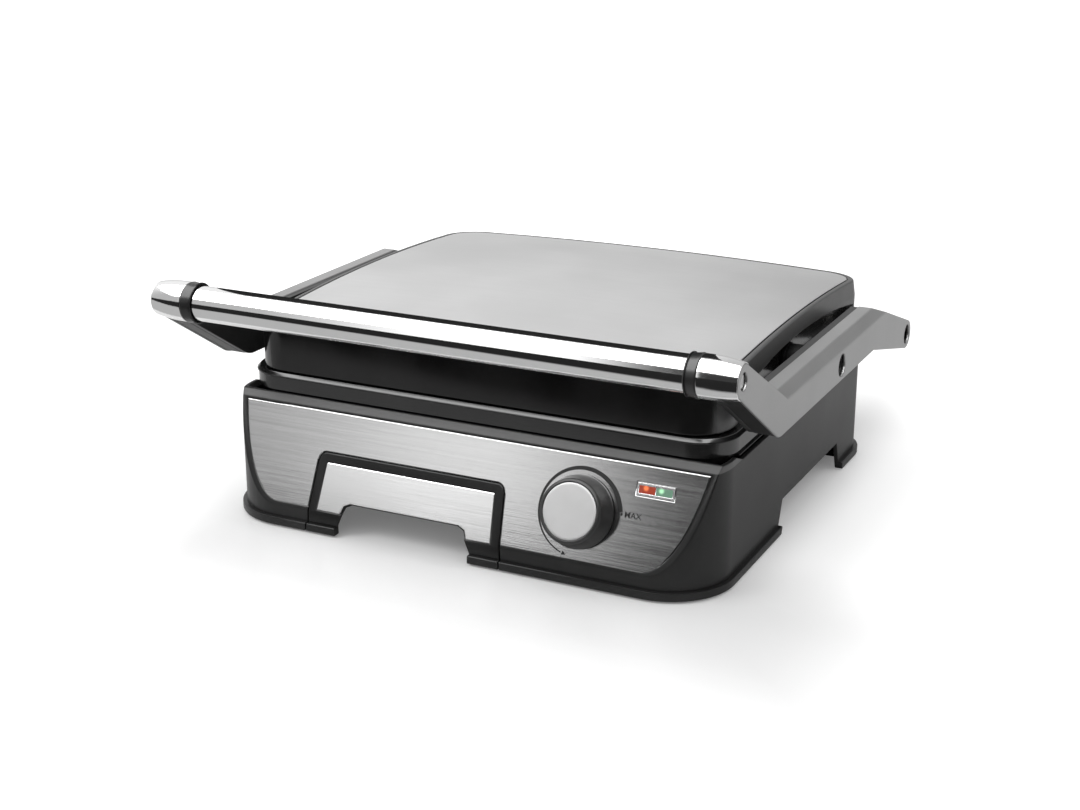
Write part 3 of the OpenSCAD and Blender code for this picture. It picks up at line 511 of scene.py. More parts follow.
@dataclass(frozen=True)
class PlainMetal(Finish):
    """Turned or drawn fastener metal, with a tool grain and tarnish."""

    roughness: float = 0.28
    tarnish: Colour = (0.18, 0.16, 0.14)

    def sockets(self, r: Recipe) -> Sockets:
        """The shader's values."""
        tool = r.noise(r.places(scale=(900.0, 160.0, 160.0)), 1.0, 2.0)
        spot = r.noise(r.places(), 240.0, 4.0, 0.65)
        tone = r.blend(spot.ramp(0.52, 0.8) * 0.5, self.colour, self.tarnish)
        return {
            "Base Color": tone,
            "Roughness": self.roughness + (tool - 0.5) * 0.16 + spot.ramp(0.5, 0.8) * 0.18,
            "Metallic": 1.0,
            "Normal": r.relief(tool, 0.015, 0.5),
        }


@dataclass(frozen=True)
class GalvanisedSheet(Finish):
    """Pressed sheet steel with a spangled zinc coat."""

    def sockets(self, r: Recipe) -> Sockets:
        """The shader's values."""
        cells = {"feature": "F1", "distance": "EUCLIDEAN"}
        spangle = r.signal("ShaderNodeTexVoronoi", cells, {"Vector": r.places(), "Scale": 130.0}, "Color")
        level = r.signal("ShaderNodeRGBToBW", inputs={"Color": spangle})
        return {
            "Base Color": r.blend(level, self.shade(0.75), self.colour),
            "Roughness": 0.32 + level * 0.18,
            "Metallic": 1.0,
        }


@dataclass(frozen=True)
class SpunFace(Finish):
    """A metal disc with fine turned rings round its own axis, on the leaning front."""

    centre: Triple
    lean: float
    rings_per_mm: float = 2.4
    roughness: float = 0.5

    def sockets(self, r: Recipe) -> Sockets:
        """The shader's values."""
        flat = r.places(scale=(1.0, 1.0, 0.0), turn=(self.lean - 90.0, 0, 0), centre=self.centre)
        waver = r.noise(r.places(), 60.0, 2.0)
        phase = r.distance(flat) * (self.rings_per_mm / MM * math.tau) + waver * 3.0
        ring = r.signal("ShaderNodeMath", {"operation": "SINE"}, {0: phase})
        fine = ring * 0.5 + 0.5
        cloud = r.noise(r.places(), 70.0, 3.0)
        tone = r.blend(fine * 0.5 + cloud.ramp(0.3, 0.7) * 0.5, self.shade(0.9), self.colour)
        return {
            "Base Color": tone,
            "Roughness": self.roughness + (fine - 0.5) * 0.1 + (cloud - 0.5) * 0.1,
            "Metallic": 1.0,
            "Normal": r.relief(fine, 0.01, 0.5),
        }


@dataclass(frozen=True)
class LitLens(Finish):
    """A tinted moulded lens with the glow of the lamp behind it and a prismatic inner face."""

    glow: Colour
    spot: Triple
    spot_mm: float = 1.3
    strength: float = 1.1

    def sockets(self, r: Recipe) -> Sockets:
        """The shader's values."""
        away = r.distance(r.places(centre=self.spot)) * (1 / MM)
        halo = away.ramp(self.spot_mm * 0.3, self.spot_mm * 1.9, 1.0, 0.0)
        prism = r.noise(r.places(scale=(1500.0, 700.0, 700.0)), 1.0, 2.0)
        lit = r.blend(halo * (0.75 + prism * 0.4), self.shade(0.22), self.glow)
        return {
            "Base Color": r.blend(prism.ramp(0.3, 0.7) * 0.5, self.colour, self.shade(0.6)),
            "Roughness": 0.12 + prism * 0.1,
            "Emission Color": lit,
            "Emission Strength": self.strength,
            "Normal": r.relief(prism, 0.05),
            "Coat Weight": 0.6,
        }


@dataclass(frozen=True)
class PrintedInk(Finish):
    """Screen-printed ink, a little uneven."""

    def sockets(self, r: Recipe) -> Sockets:
        """The shader's values."""
        mottle = r.noise(r.places(), 1100.0, 3.0)
        return {
            "Base Color": r.blend(mottle.ramp(0.45, 0.8) * 0.4, self.colour, self.shade(1.8)),
            "Roughness": 0.5 + (mottle - 0.5) * 0.2,
        }


class Slot(Enum):
    """The names of the record's material slots, given with each piece."""

    BLACK_PLASTIC = "black_plastic"
    GLOSS_BLACK = "gloss_black"
    BRUSHED_STEEL = "brushed_steel"
    TOP_STEEL = "top_steel"
    CHROME = "chrome"
    SILVER_CASTING = "silver_casting"
    COATED_ALUMINIUM = "coated_aluminium"
    STEEL = "steel"
    RUBBER = "rubber"
    PALE_PLASTIC = "pale_plastic"
    BUSH_PLASTIC = "bush_plastic"
    KNOB_SILVER = "knob_silver"
    LENS_RED = "lens_red"
    LENS_GREEN = "lens_green"
    WINDOW_FRAME = "window_frame"


class Body(Enum):
    """The moving bodies of the model."""

    BASE = "base"
    TRAY = "drip_tray"
    KNOB = "knob"
    ARMS = "arms"
    LID = "lid"


class PaintShop:
    """Makes each finish once and hands out its material."""

    def __init__(self) -> None:
        """Starts with no material made."""
        self._made: Dict[str, bpy.types.Material] = {}

    def get(self, finish: Finish) -> bpy.types.Material:
        """The material of a finish."""
        if finish.name not in self._made:
            self._made[finish.name] = finish.make()
        return self._made[finish.name]


PAINT = PaintShop()

# The steel front: its lean in degrees, the place of its top edge, and the knob's middle on it.
LEAN = 20.8
FRONT_Y = -133.5
FRONT_Z = 77.0
KNOB_X = 86.0
KNOB_UP = -34.8


def on_front(x: float, up: float, out: float) -> Triple:
    """A place on the leaning front, in millimetres.

    Args:
        x: The sideways place.
        up: The way up the slope from its top edge, negative below it.
        out: The way out of the slope.

    Returns:
        The place in the model's frame.
    """
    rise, run = math.cos(math.radians(LEAN)), math.sin(math.radians(LEAN))
    return (x, FRONT_Y + up * run - out * rise, FRONT_Z + up * rise + out * run)


def front_matrix(x: float, up: float, out: float) -> Matrix:
    """The turn and place that lay a flat drawing (X across, Y up, Z out) on the leaning front."""
    return Matrix.Translation(on_front(x, up, out)) @ Matrix.Rotation(math.radians(90 - LEAN), 4, "X")


BLACK = HousingPlastic("black_moulding", grey(23), roughness=0.36, specular=0.33)
TRAY_BLACK = MouldedPlastic("tray_moulding", grey(12), roughness=0.34, specular=0.35)
RIM_BLACK = MouldedPlastic("rim_moulding", grey(20), roughness=0.14, grain_mm=0.004, specular=0.8)
# The lid's very dark tone also serves as painted shade in its side recesses.
LID_BLACK = LidPlastic("lid_moulding", grey(10), roughness=0.15, grain_mm=0.004)
CORE_BLACK = MouldedPlastic("arm_core_moulding", grey(20), roughness=0.45)
# Painted shade: the pivot blocks in the lid's recesses are coloured darker and less shiny than the lid.
RECESS_SHADE_BLACK = MouldedPlastic("recess_shade_moulding", grey(6), roughness=0.5, specular=0.15)
KNOB_BLACK = MouldedPlastic("knob_moulding", grey(40), roughness=0.4, grain_mm=0.02)
RING_BLACK = MouldedPlastic("ring_moulding", grey(30), roughness=0.3, grain_mm=0.01)
PALE = MouldedPlastic("cream_moulding", tint(216, 210, 192), roughness=0.45)
BUSH = MouldedPlastic("bearing_plastic", tint(206, 202, 188), roughness=0.35)
FRONT_STEEL = BrushedSteel("brushed_front_steel", grey(197), roughness=0.14, streak=0.1, scratch_mm=0.07)
TRAY_STEEL = BrushedSteel("brushed_tray_steel", grey(238), roughness=0.2, streak=0.04, scratch_mm=0.03)
LID_STEEL = SatinSheet("satin_lid_steel", grey(204))
TUBE_CHROME = Chrome("handle_chrome", grey(240))
ARM_SILVER = SatinCasting("silver_arm_casting", grey(166))
PLATE_COAT = NonStick("non_stick_coating", grey(36))
FOOT_RUBBER = Rubber("foot_rubber", grey(26))
ZINC = PlainMetal("zinc_screw_steel", grey(200))
DARK_SCREW = PlainMetal("blackened_screw_steel", grey(96), roughness=0.34)
ELEMENT_METAL = PlainMetal("element_sheath", tint(120, 108, 98), roughness=0.45, tarnish=(0.05, 0.03, 0.02))
REFLECTOR_METAL = GalvanisedSheet("reflector_sheet", grey(205))
KNOB_SILVER = SpunFace("turned_knob_face", grey(195), on_front(KNOB_X, KNOB_UP, 0.0), LEAN)
RED_LENS = LitLens(
    "red_lamp_lens", tint(165, 62, 40), tint(255, 140, 80), on_front(126.6, -13.6, 0.2), strength=1.0
)
GREEN_LENS = LitLens(
    "green_lamp_lens", tint(112, 150, 128), tint(190, 255, 200), on_front(136.6, -13.8, 0.2), strength=0.9
)
FRAME_SILVER = PlainMetal("window_frame_metal", grey(214), roughness=0.22)
LAMP_GLASS = MouldedPlastic("lamp_glass", tint(236, 200, 160), roughness=0.12, grain_mm=0.0)
INK = PrintedInk("panel_ink", grey(10))


# ---- mesh building

# Points of a CAD mesh closer than this, in millimetres, are one point.
MERGE_MM = 0.002
# Faces that meet at less than this are one flat face.
FLAT_DEGREES = 0.3
# Edges whose faces meet at more than this are rounded.
SHARP_DEGREES = 28.0
# Faces that meet at less than this are shaded as one.
SMOOTH_DEGREES = 32.0


def linked(name: str, data: bpy.types.ID) -> Thing:
    """A new object of this data, in the scene."""
    made = bpy.data.objects.new(name, data)
    bpy.context.scene.collection.objects.link(made)
    return made


class Form:
    """One piece's mesh while it is shaped, in millimetres."""

    def __init__(self) -> None:
        """Starts with an empty mesh."""
        self.bm = bmesh.new()
        self.rounded: List[bmesh.types.BMFace] = []

    @classmethod
    def of_node(cls, node: str) -> "Form":
        """A merged copy of a CAD node's mesh, with its flat faces whole again."""
        form = cls()
        form.bm.from_mesh(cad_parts[node].data)
        bmesh.ops.scale(form.bm, vec=(1 / MM,) * 3, verts=form.bm.verts)
        bmesh.ops.remove_doubles(form.bm, verts=form.bm.verts, dist=MERGE_MM)
        bmesh.ops.dissolve_degenerate(form.bm, edges=form.bm.edges, dist=MERGE_MM / 2)
        bmesh.ops.dissolve_limit(
            form.bm,
            angle_limit=math.radians(FLAT_DEGREES),
            use_dissolve_boundaries=False,
            verts=form.bm.verts,
            edges=form.bm.edges,
            delimit=set(),
        )
        return form

    def spin(self, profile: Sequence[Point2], steps: int = 96) -> "Form":
        """Turns a profile once round the Z axis.

        Args:
            profile: Pairs of a radius and a height, from one end to the other.
            steps: The number of steps in the turn.

        Returns:
            This form.
        """
        verts = [self.bm.verts.new((radius, 0, height)) for radius, height in profile]
        edges = [self.bm.edges.new(pair) for pair in zip(verts, verts[1:])]
        turn = {"cent": (0, 0, 0), "axis": (0, 0, 1), "angle": math.tau}
        bmesh.ops.spin(self.bm, geom=verts + edges, steps=steps, use_merge=True, **turn)
        bmesh.ops.remove_doubles(self.bm, verts=self.bm.verts, dist=0.0005)
        bmesh.ops.recalc_face_normals(self.bm, faces=self.bm.faces)
        return self

    def slab(self, outline: Sequence[Point2], low: float, high: float) -> "Form":
        """Adds a flat outline in X and Y, extruded from one height to another."""
        face = self.bm.faces.new([self.bm.verts.new((x, y, low)) for x, y in outline])
        return self.thicken([face], high - low)

    def thicken(self, faces: Sequence[bmesh.types.BMFace], depth: float) -> "Form":
        """Extrudes flat faces this far along Z."""
        grown = bmesh.ops.extrude_face_region(self.bm, geom=faces)
        moved = [item for item in grown["geom"] if isinstance(item, bmesh.types.BMVert)]
        bmesh.ops.translate(self.bm, vec=(0, 0, depth), verts=moved)
        bmesh.ops.recalc_face_normals(self.bm, faces=self.bm.faces)
        return self

    def move(self, matrix: Matrix) -> "Form":
        """Places the whole form."""
        bmesh.ops.transform(self.bm, matrix=matrix, verts=self.bm.verts)
        return self

    def soften(
        self,
        radius: float,
        segments: int = 2,
        sharper_than: float = SHARP_DEGREES,
        where: Optional[Callable[[Edge], bool]] = None,
    ) -> "Form":
        """Rounds the form's sharp outer edges.

        Args:
            radius: The rounding, in millimetres.
            segments: The number of strips in it.
            sharper_than: Edges whose faces meet at more than this many degrees are rounded.
            where: An extra test that an edge has to pass.

        Returns:
            This form.
        """
        limit = math.radians(sharper_than)
        edges = [
            edge
            for edge in self.bm.edges
            if len(edge.link_faces) == 2
            and edge.calc_face_angle(0.0) > limit
            and edge.is_convex
            and (where is None or where(edge))
        ]
        how = {"offset_type": "OFFSET", "profile": 0.5, "affect": "EDGES", "loop_slide": True, "material": -1}
        made = bmesh.ops.bevel(
            self.bm, geom=edges, offset=radius, segments=segments, clamp_overlap=False, **how
        )
        self.rounded = made["faces"]
        return self

    def finish(
        self, name: str, finish: Finish, body: Body, slot: Slot, replaces: Sequence[str] = ()
    ) -> None:
        """Makes the form a piece of the object.

        Args:
            name: The piece's name.
            finish: Its finish.
            body: The body it moves with.
            slot: Not used.
            replaces: The CAD nodes it stands for.
        """
        mark = self.bm.faces.layers.float.new(EDGE_MARK)
        for face in self.rounded:
            if face.is_valid:
                face[mark] = 1.0
        piece = self.place(name, PAINT.get(finish))
        piece.data.shade_smooth()
        piece.data.set_sharp_from_angle(angle=math.radians(SMOOTH_DEGREES))
        piece.modifiers.new("weighted_normals", "WEIGHTED_NORMAL").keep_sharp = True
        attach(piece, body.value)
        if replaces:
            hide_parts(*replaces)
        LOG.info("%s: %d faces, on %s", name, len(piece.data.polygons), body.value)

    def place(self, name: str, material: bpy.types.Material) -> Thing:
        """Turns the form's millimetres into metres, and puts it into the scene as an object."""
        bmesh.ops.scale(self.bm, vec=(MM,) * 3, verts=self.bm.verts)
        mesh = bpy.data.meshes.new(name)
        self.bm.to_mesh(mesh)
        self.bm.free()
        mesh.materials.append(material)
        return linked(name, mesh)


def softened(node: str, finish: Finish, body: Body, slot: Slot, *rounding: float) -> None:
    """Makes a piece from a CAD node's own shape, with rounded edges.

    Args:
        node: The CAD node, which the piece stands for.
        finish: The piece's finish.
        body: The body it moves with.
        slot: The record's material slot, passed on to Form.finish, which doesn't use it.
        rounding: A radius in millimetres, and where Form.soften's own don't do, its segments and
            sharper_than.
    """
    Form.of_node(node).soften(*rounding).finish(f"{node}_piece", finish, body, slot, [node])


def dress(node: str, finish: Finish) -> None:
    """Gives a CAD node that stays as it is its finish."""
    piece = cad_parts[node]
    if not piece.material_slots:
        piece.data.materials.append(PAINT.get(finish))
    for holder in piece.material_slots:
        holder.material = PAINT.get(finish)
    LOG.info("%s: kept, in %s", node, finish.name)


def arc(radius: float, start: float, end: float, steps: int) -> List[Point2]:
    """Points on a circle round the origin, from one angle to another in degrees."""
    angles = [math.radians(start + (end - start) * i / steps) for i in range(steps + 1)]
    return [(radius * math.cos(angle), radius * math.sin(angle)) for angle in angles]


# ---- sub-assemblies


@dataclass
class Housing:
    """The moulded base with its feet, bottom cover and inner parts."""

    edge_r: float = 0.7
    edge_degrees: float = 18.0
    foot_edge_r: float = 0.5
    rim_z: float = 96.3
    rim_half: float = 150.0
    rim_front: float = -115.0
    rim_rear: float = 160.0
    bead_r: float = 2.2

    def build(self) -> None:
        """Makes the base's pieces."""
        softened("base_housing", BLACK, Body.BASE, Slot.BLACK_PLASTIC, self.edge_r, 2, self.edge_degrees)
        softened("bottom_cover", BLACK, Body.BASE, Slot.BLACK_PLASTIC, 0.4)
        softened("rubber_feet", FOOT_RUBBER, Body.BASE, Slot.RUBBER, self.foot_edge_r)
        self._rim()
        softened("tray_runners", BLACK, Body.BASE, Slot.BLACK_PLASTIC, 0.4)
        softened("cord_gland", RING_BLACK, Body.BASE, Slot.RUBBER, 0.6)
        softened("terminal_block", PALE, Body.BASE, Slot.PALE_PLASTIC, 0.5)
        softened("thermostat_body", PALE, Body.BASE, Slot.PALE_PLASTIC, 0.5)
        softened("thermostat_nut", ZINC, Body.BASE, Slot.STEEL, 0.3)
        softened("cover_screws", ZINC, Body.BASE, Slot.STEEL, 0.4)
        softened("lamp_holder", PALE, Body.BASE, Slot.PALE_PLASTIC, 0.3)
        dress("indicator_lamps", LAMP_GLASS)

    def _rim(self) -> None:
        """Makes the rim round the lower plate, with its bead rolled over at the top."""
        form = Form.of_node("lower_surround")

        def on_bead(edge: Edge) -> bool:
            """Whether an edge runs round the outside of the rim's top."""
            ends = [vert.co for vert in edge.verts]
            outside = all(
                abs(end.x) > self.rim_half or not self.rim_front <= end.y <= self.rim_rear for end in ends
            )
            return outside and all(abs(end.z - self.rim_z) < 0.05 for end in ends)

        form.soften(self.bead_r, 1, where=on_bead)
        form.soften(0.5, 3)
        form.finish("lower_surround_piece", RIM_BLACK, Body.BASE, Slot.BLACK_PLASTIC, ["lower_surround"])


@dataclass
class FrontPanel:
    """The brushed front skin with its printed marks and the indicator window."""

    scale_r: float = 28.2
    scale_steps: int = 96
    scale_start: float = 9.0
    scale_end: float = 252.0
    arrow_past: float = 5.0
    arrow_in: float = 0.5
    thick_start: float = 3.4
    thick_end: float = 0.8
    thinning: float = 1.1
    ink: float = 0.06
    text_size: float = 5.2
    text_bold: float = 0.07
    text_x: float = 115.2
    text_up: float = -33.2
    dot_r: float = 0.8
    dot_x: float = 113.4
    dot_over: float = 1.5

    def build(self) -> None:
        """Makes the skin, the marks and the window."""
        softened("front_fascia", FRONT_STEEL, Body.BASE, Slot.BRUSHED_STEEL, 0.8, 3)
        softened("indicator_frame", FRAME_SILVER, Body.BASE, Slot.WINDOW_FRAME, 0.25)
        softened("red_lens", RED_LENS, Body.BASE, Slot.LENS_RED, 0.25)
        softened("green_lens", GREEN_LENS, Body.BASE, Slot.LENS_GREEN, 0.25)
        self._scale()
        self._arrow()
        self._dot()
        self._word()

    def _lay(self, form: Form, name: str, x: float, up: float) -> None:
        """Lays a flat mark on the front as printed ink."""
        form.move(front_matrix(x, up, 0.0)).finish(name, INK, Body.BASE, Slot.BLACK_PLASTIC)

    def _scale(self) -> None:
        """Prints the arc that thins from the highest setting to the lowest."""
        outer = arc(self.scale_r, self.scale_start, self.scale_end, self.scale_steps)
        inner = []
        for i, (x, y) in enumerate(outer):
            left = (1 - i / self.scale_steps) ** self.thinning
            share = 1 - (self.thick_end + (self.thick_start - self.thick_end) * left) / self.scale_r
            inner.append((x * share, y * share))
        form = Form()
        rings = [[form.bm.verts.new((x, y, 0.0)) for x, y in path] for path in (outer, inner)]
        edges = [form.bm.edges.new(pair) for ring in rings for pair in zip(ring, ring[1:])]
        form.thicken(bmesh.ops.bridge_loops(form.bm, edges=edges)["faces"], self.ink)
        self._lay(form, "printed_scale", KNOB_X, KNOB_UP)

    def _arrow(self) -> None:
        """Prints the small arrow at the scale's low end."""
        form = Form().slab([(-1.6, 1.4), (-1.6, -1.4), (1.4, 0.0)], 0.0, self.ink)
        angle = math.radians(self.scale_end + self.arrow_past)
        middle = self.scale_r - self.arrow_in
        form.move(Matrix.Rotation(angle + math.pi / 2, 4, "Z"))
        x = KNOB_X + middle * math.cos(angle)
        self._lay(form, "printed_arrow", x, KNOB_UP + middle * math.sin(angle))

    def _dot(self) -> None:
        """Prints the index dot beside the knob."""
        form = Form().slab(arc(self.dot_r, 0, 345, 23), 0.0, self.ink)
        self._lay(form, "printed_dot", self.dot_x, self.text_up + self.dot_over)

    def _word(self) -> None:
        """Prints MAX beside the dot."""
        curve = bpy.data.curves.new("printed_max_curve", "FONT")
        curve.body = "MAX"
        curve.size = self.text_size
        curve.offset = self.text_bold
        curve.extrude = self.ink / 2
        holder = linked("printed_max_curve", curve)
        bpy.context.view_layer.update()
        flat = holder.evaluated_get(bpy.context.evaluated_depsgraph_get()).to_mesh()
        form = Form()
        form.bm.from_mesh(flat)
        holder.to_mesh_clear()
        bpy.data.objects.remove(holder)
        bmesh.ops.translate(form.bm, vec=(0, 0, self.ink / 2), verts=form.bm.verts)
        bmesh.ops.remove_doubles(form.bm, verts=form.bm.verts, dist=MERGE_MM / 2)
        self._lay(form, "printed_max", self.text_x, self.text_up)


@dataclass
class DripTray:
    """The pull-out tray: its black front, its steel face and its pan."""

    edge_r: float = 0.8

    def build(self) -> None:
        """Makes the tray's pieces."""
        softened("tray_front", TRAY_BLACK, Body.TRAY, Slot.BLACK_PLASTIC, self.edge_r)
        softened("tray_fascia", TRAY_STEEL, Body.TRAY, Slot.BRUSHED_STEEL, 0.6, 3)
        softened("tray_pan", PLATE_COAT, Body.TRAY, Slot.COATED_ALUMINIUM, 0.8)


@dataclass
class Knob:
    """The rotary thermostat knob."""

    skirt_r: float = 23.0
    face_r: float = 17.8
    height: float = 16.5
    sunk: float = 1.2
    clear: float = 0.9
    skirt_h: float = 3.0
    shaft_r: float = 9.5

    def build(self) -> None:
        """Makes the knob's body, its metal face and its spindle."""
        top = self.height
        rim = self.face_r + 1.0
        profile = [
            (self.shaft_r, self.clear + 0.4),
            (self.skirt_r - 0.6, self.clear),
            (self.skirt_r - 0.15, self.clear + 0.15),
            (self.skirt_r, self.clear + 0.6),
            (self.skirt_r, self.clear + self.skirt_h - 0.5),
            (self.skirt_r - 0.2, self.clear + self.skirt_h + 0.3),
            (rim + 1.7, top - 2.2),
            (rim + 1.35, top - 1.2),
            (rim + 0.7, top - 0.35),
            (rim - 0.1, top),
            (self.face_r + 0.35, top),
            (self.face_r + 0.1, top - 0.15),
            (self.face_r, top - 0.5),
            (self.face_r, top - self.sunk),
            (0.0, top - self.sunk),
        ]
        place = front_matrix(KNOB_X, KNOB_UP, 0.0)
        body = Form().spin(profile, 128).move(place)
        body.finish("knob_body_piece", KNOB_BLACK, Body.KNOB, Slot.BLACK_PLASTIC, ["knob_body"])
        disc = self.face_r - 0.15
        low = top - self.sunk
        face = [(0.0, low), (disc, low), (disc, top - 0.55), (disc - 0.1, top - 0.3)]
        face += [(disc - 0.45, top - 0.1)]
        face += [(disc * share, top - 0.1 + 0.05 * (1 - share)) for share in (0.9, 0.6, 0.3, 0.0)]
        cap = Form().spin(face, 128).move(place)
        cap.finish("knob_cap_piece", KNOB_SILVER, Body.KNOB, Slot.KNOB_SILVER, ["knob_cap"])
        dress("knob_spindle", ZINC)


@dataclass
class HandleAndArms:
    """The chrome handle, its rings and caps, and the two arms."""

    tube_y: float = -175.7
    tube_z: float = 153.0
    tube_r: float = 11.4
    tube_half: float = 167.0
    ring_r: float = 13.3
    ring_w: float = 8.0
    wall: float = 1.5
    bore_r: float = 6.0
    elbow: Point2 = (-109.7, 98.1)
    elbow_near: float = 1.6
    elbow_r: float = 5.0

    def build(self) -> None:
        """Makes the handle's and the arms' pieces."""
        self._tube()
        self._rings()
        for side in ("left", "right"):
            softened(f"handle_cap_{side}", TUBE_CHROME, Body.ARMS, Slot.CHROME, 0.35, 2, 35.0)
            self._arm(f"arm_cover_{side}", ARM_SILVER, Slot.SILVER_CASTING, 0.9, 3, 15.0)
            self._arm(f"arm_core_{side}", CORE_BLACK, Slot.BLACK_PLASTIC, 0.5)
        softened("handle_screws", ZINC, Body.ARMS, Slot.STEEL, 0.4)
        softened("hinge_bushes", BUSH, Body.ARMS, Slot.BUSH_PLASTIC, 0.3)
        softened("pivot_bushes", BUSH, Body.ARMS, Slot.BUSH_PLASTIC, 0.3)

    def _arm(self, node: str, finish: Finish, slot: Slot, *rounding: float) -> None:
        """Makes one layer of an arm, with its elbow's lower corner well rounded."""
        form = Form.of_node(node)

        def at_elbow(edge: Edge) -> bool:
            """Whether an edge runs across the arm at its elbow's lower corner."""
            ends = [vert.co for vert in edge.verts]
            near = all(math.dist((end.y, end.z), self.elbow) < self.elbow_near for end in ends)
            return near and abs(ends[0].x - ends[1].x) > 1.0

        form.soften(self.elbow_r, 6, where=at_elbow)
        form.soften(*rounding)
        form.finish(f"{node}_piece", finish, Body.ARMS, slot, [node])

    def _along_handle(self) -> Matrix:
        """The turn and place that lay the Z axis along the handle."""
        return Matrix.Translation((0, self.tube_y, self.tube_z)) @ Matrix.Rotation(math.radians(90), 4, "Y")

    def _tube(self) -> None:
        """Makes the chrome tube."""
        inner = self.tube_r - self.wall
        half = self.tube_half
        steps = 8
        walls = [(self.tube_r, -half + 2 * half * i / steps) for i in range(steps + 1)]
        profile = [(inner, -half), (inner + 0.2, -half), *walls, (inner, half), (inner, -half)]
        tube = Form().spin(profile, 128).move(self._along_handle())
        tube.finish("handle_tube_piece", TUBE_CHROME, Body.ARMS, Slot.CHROME, ["handle_tube"])

    def _rings(self) -> None:
        """Makes the two black rings with rolled edges."""
        roll = 1.1
        low, high = self.tube_half, self.tube_half + self.ring_w
        start = [(self.ring_r - roll + x, low + roll - y) for y, x in arc(roll, 90, 0, 5)]
        end = [(self.ring_r - roll + x, high - roll + y) for x, y in arc(roll, 0, 90, 5)]
        profile = [(self.bore_r, low), *start, *end, (self.bore_r, high), (self.bore_r, low)]
        for side, turn in (("right", 0.0), ("left", 180.0)):
            about = Matrix.Translation((0, self.tube_y, 0))
            swing = about @ Matrix.Rotation(math.radians(turn), 4, "Z") @ about.inverted()
            form = Form().spin(profile, 96).move(self._along_handle()).move(swing)
            node = f"handle_ring_{side}"
            form.finish(f"{node}_piece", RING_BLACK, Body.ARMS, Slot.BLACK_PLASTIC, [node])


@dataclass
class Lid:
    """The floating lid with its steel top and its cooking plate."""

    def build(self) -> None:
        """Makes the lid's pieces."""
        softened("lid_shell", LID_BLACK, Body.LID, Slot.GLOSS_BLACK, 1.1, 3)
        softened("lid_top_plate", LID_STEEL, Body.LID, Slot.TOP_STEEL, 0.4, 3)
        softened("lid_pivot_blocks", RECESS_SHADE_BLACK, Body.LID, Slot.BLACK_PLASTIC, 0.5)
        softened("pivot_bolts", DARK_SCREW, Body.LID, Slot.STEEL, 0.4)
        softened("upper_surround", RIM_BLACK, Body.LID, Slot.BLACK_PLASTIC, 0.5)
        dress("upper_element", ELEMENT_METAL)
        dress("upper_reflector", REFLECTOR_METAL)
        softened("upper_plate_screws", ZINC, Body.LID, Slot.STEEL, 0.4)
        softened("upper_grill_plate", PLATE_COAT, Body.LID, Slot.COATED_ALUMINIUM, 0.9)


@dataclass
class CookingSet:
    """The lower cooking plate, its element and its reflector."""

    def build(self) -> None:
        """Makes the lower plate's pieces."""
        softened("lower_grill_plate", PLATE_COAT, Body.BASE, Slot.COATED_ALUMINIUM, 0.9)
        dress("lower_element", ELEMENT_METAL)
        dress("lower_reflector", REFLECTOR_METAL)
        softened("lower_plate_screws", ZINC, Body.BASE, Slot.STEEL, 0.4)


@dataclass
class Hinge:
    """The hinge's brackets, pins and screws at the rear."""

    def build(self) -> None:
        """Makes the hinge's pieces."""
        for side in ("left", "right"):
            softened(f"hinge_bracket_{side}", BLACK, Body.BASE, Slot.BLACK_PLASTIC, 0.6)
        softened("hinge_pins", DARK_SCREW, Body.BASE, Slot.STEEL, 0.4)
        softened("bracket_screws", ZINC, Body.BASE, Slot.STEEL, 0.4)


# ---- studio


@dataclass
class Card:
    """A flat card beside the set that only glossy rays see."""

    name: str
    centre: Triple
    across: float
    up: float
    tilt: float
    level: float

    def build(self) -> None:
        """Makes the card."""
        form = Form()
        bmesh.ops.create_grid(form.bm, x_segments=1, y_segments=1, size=0.5)
        bmesh.ops.scale(form.bm, vec=(self.across, self.up, 1), verts=form.bm.verts)
        form.move(Matrix.Translation(self.centre) @ Matrix.Rotation(math.radians(self.tilt), 4, "X"))
        recipe = Recipe.material(f"{self.name}_card")
        shine = recipe.node("ShaderNodeEmission", inputs={"Color": (self.level,) * 3, "Strength": 1.0})
        recipe.node("ShaderNodeOutputMaterial", inputs={"Surface": shine})
        card = form.place(self.name, recipe.owner)
        for ray in ("camera", "diffuse", "transmission", "volume_scatter", "shadow"):
            setattr(card, f"visible_{ray}", False)


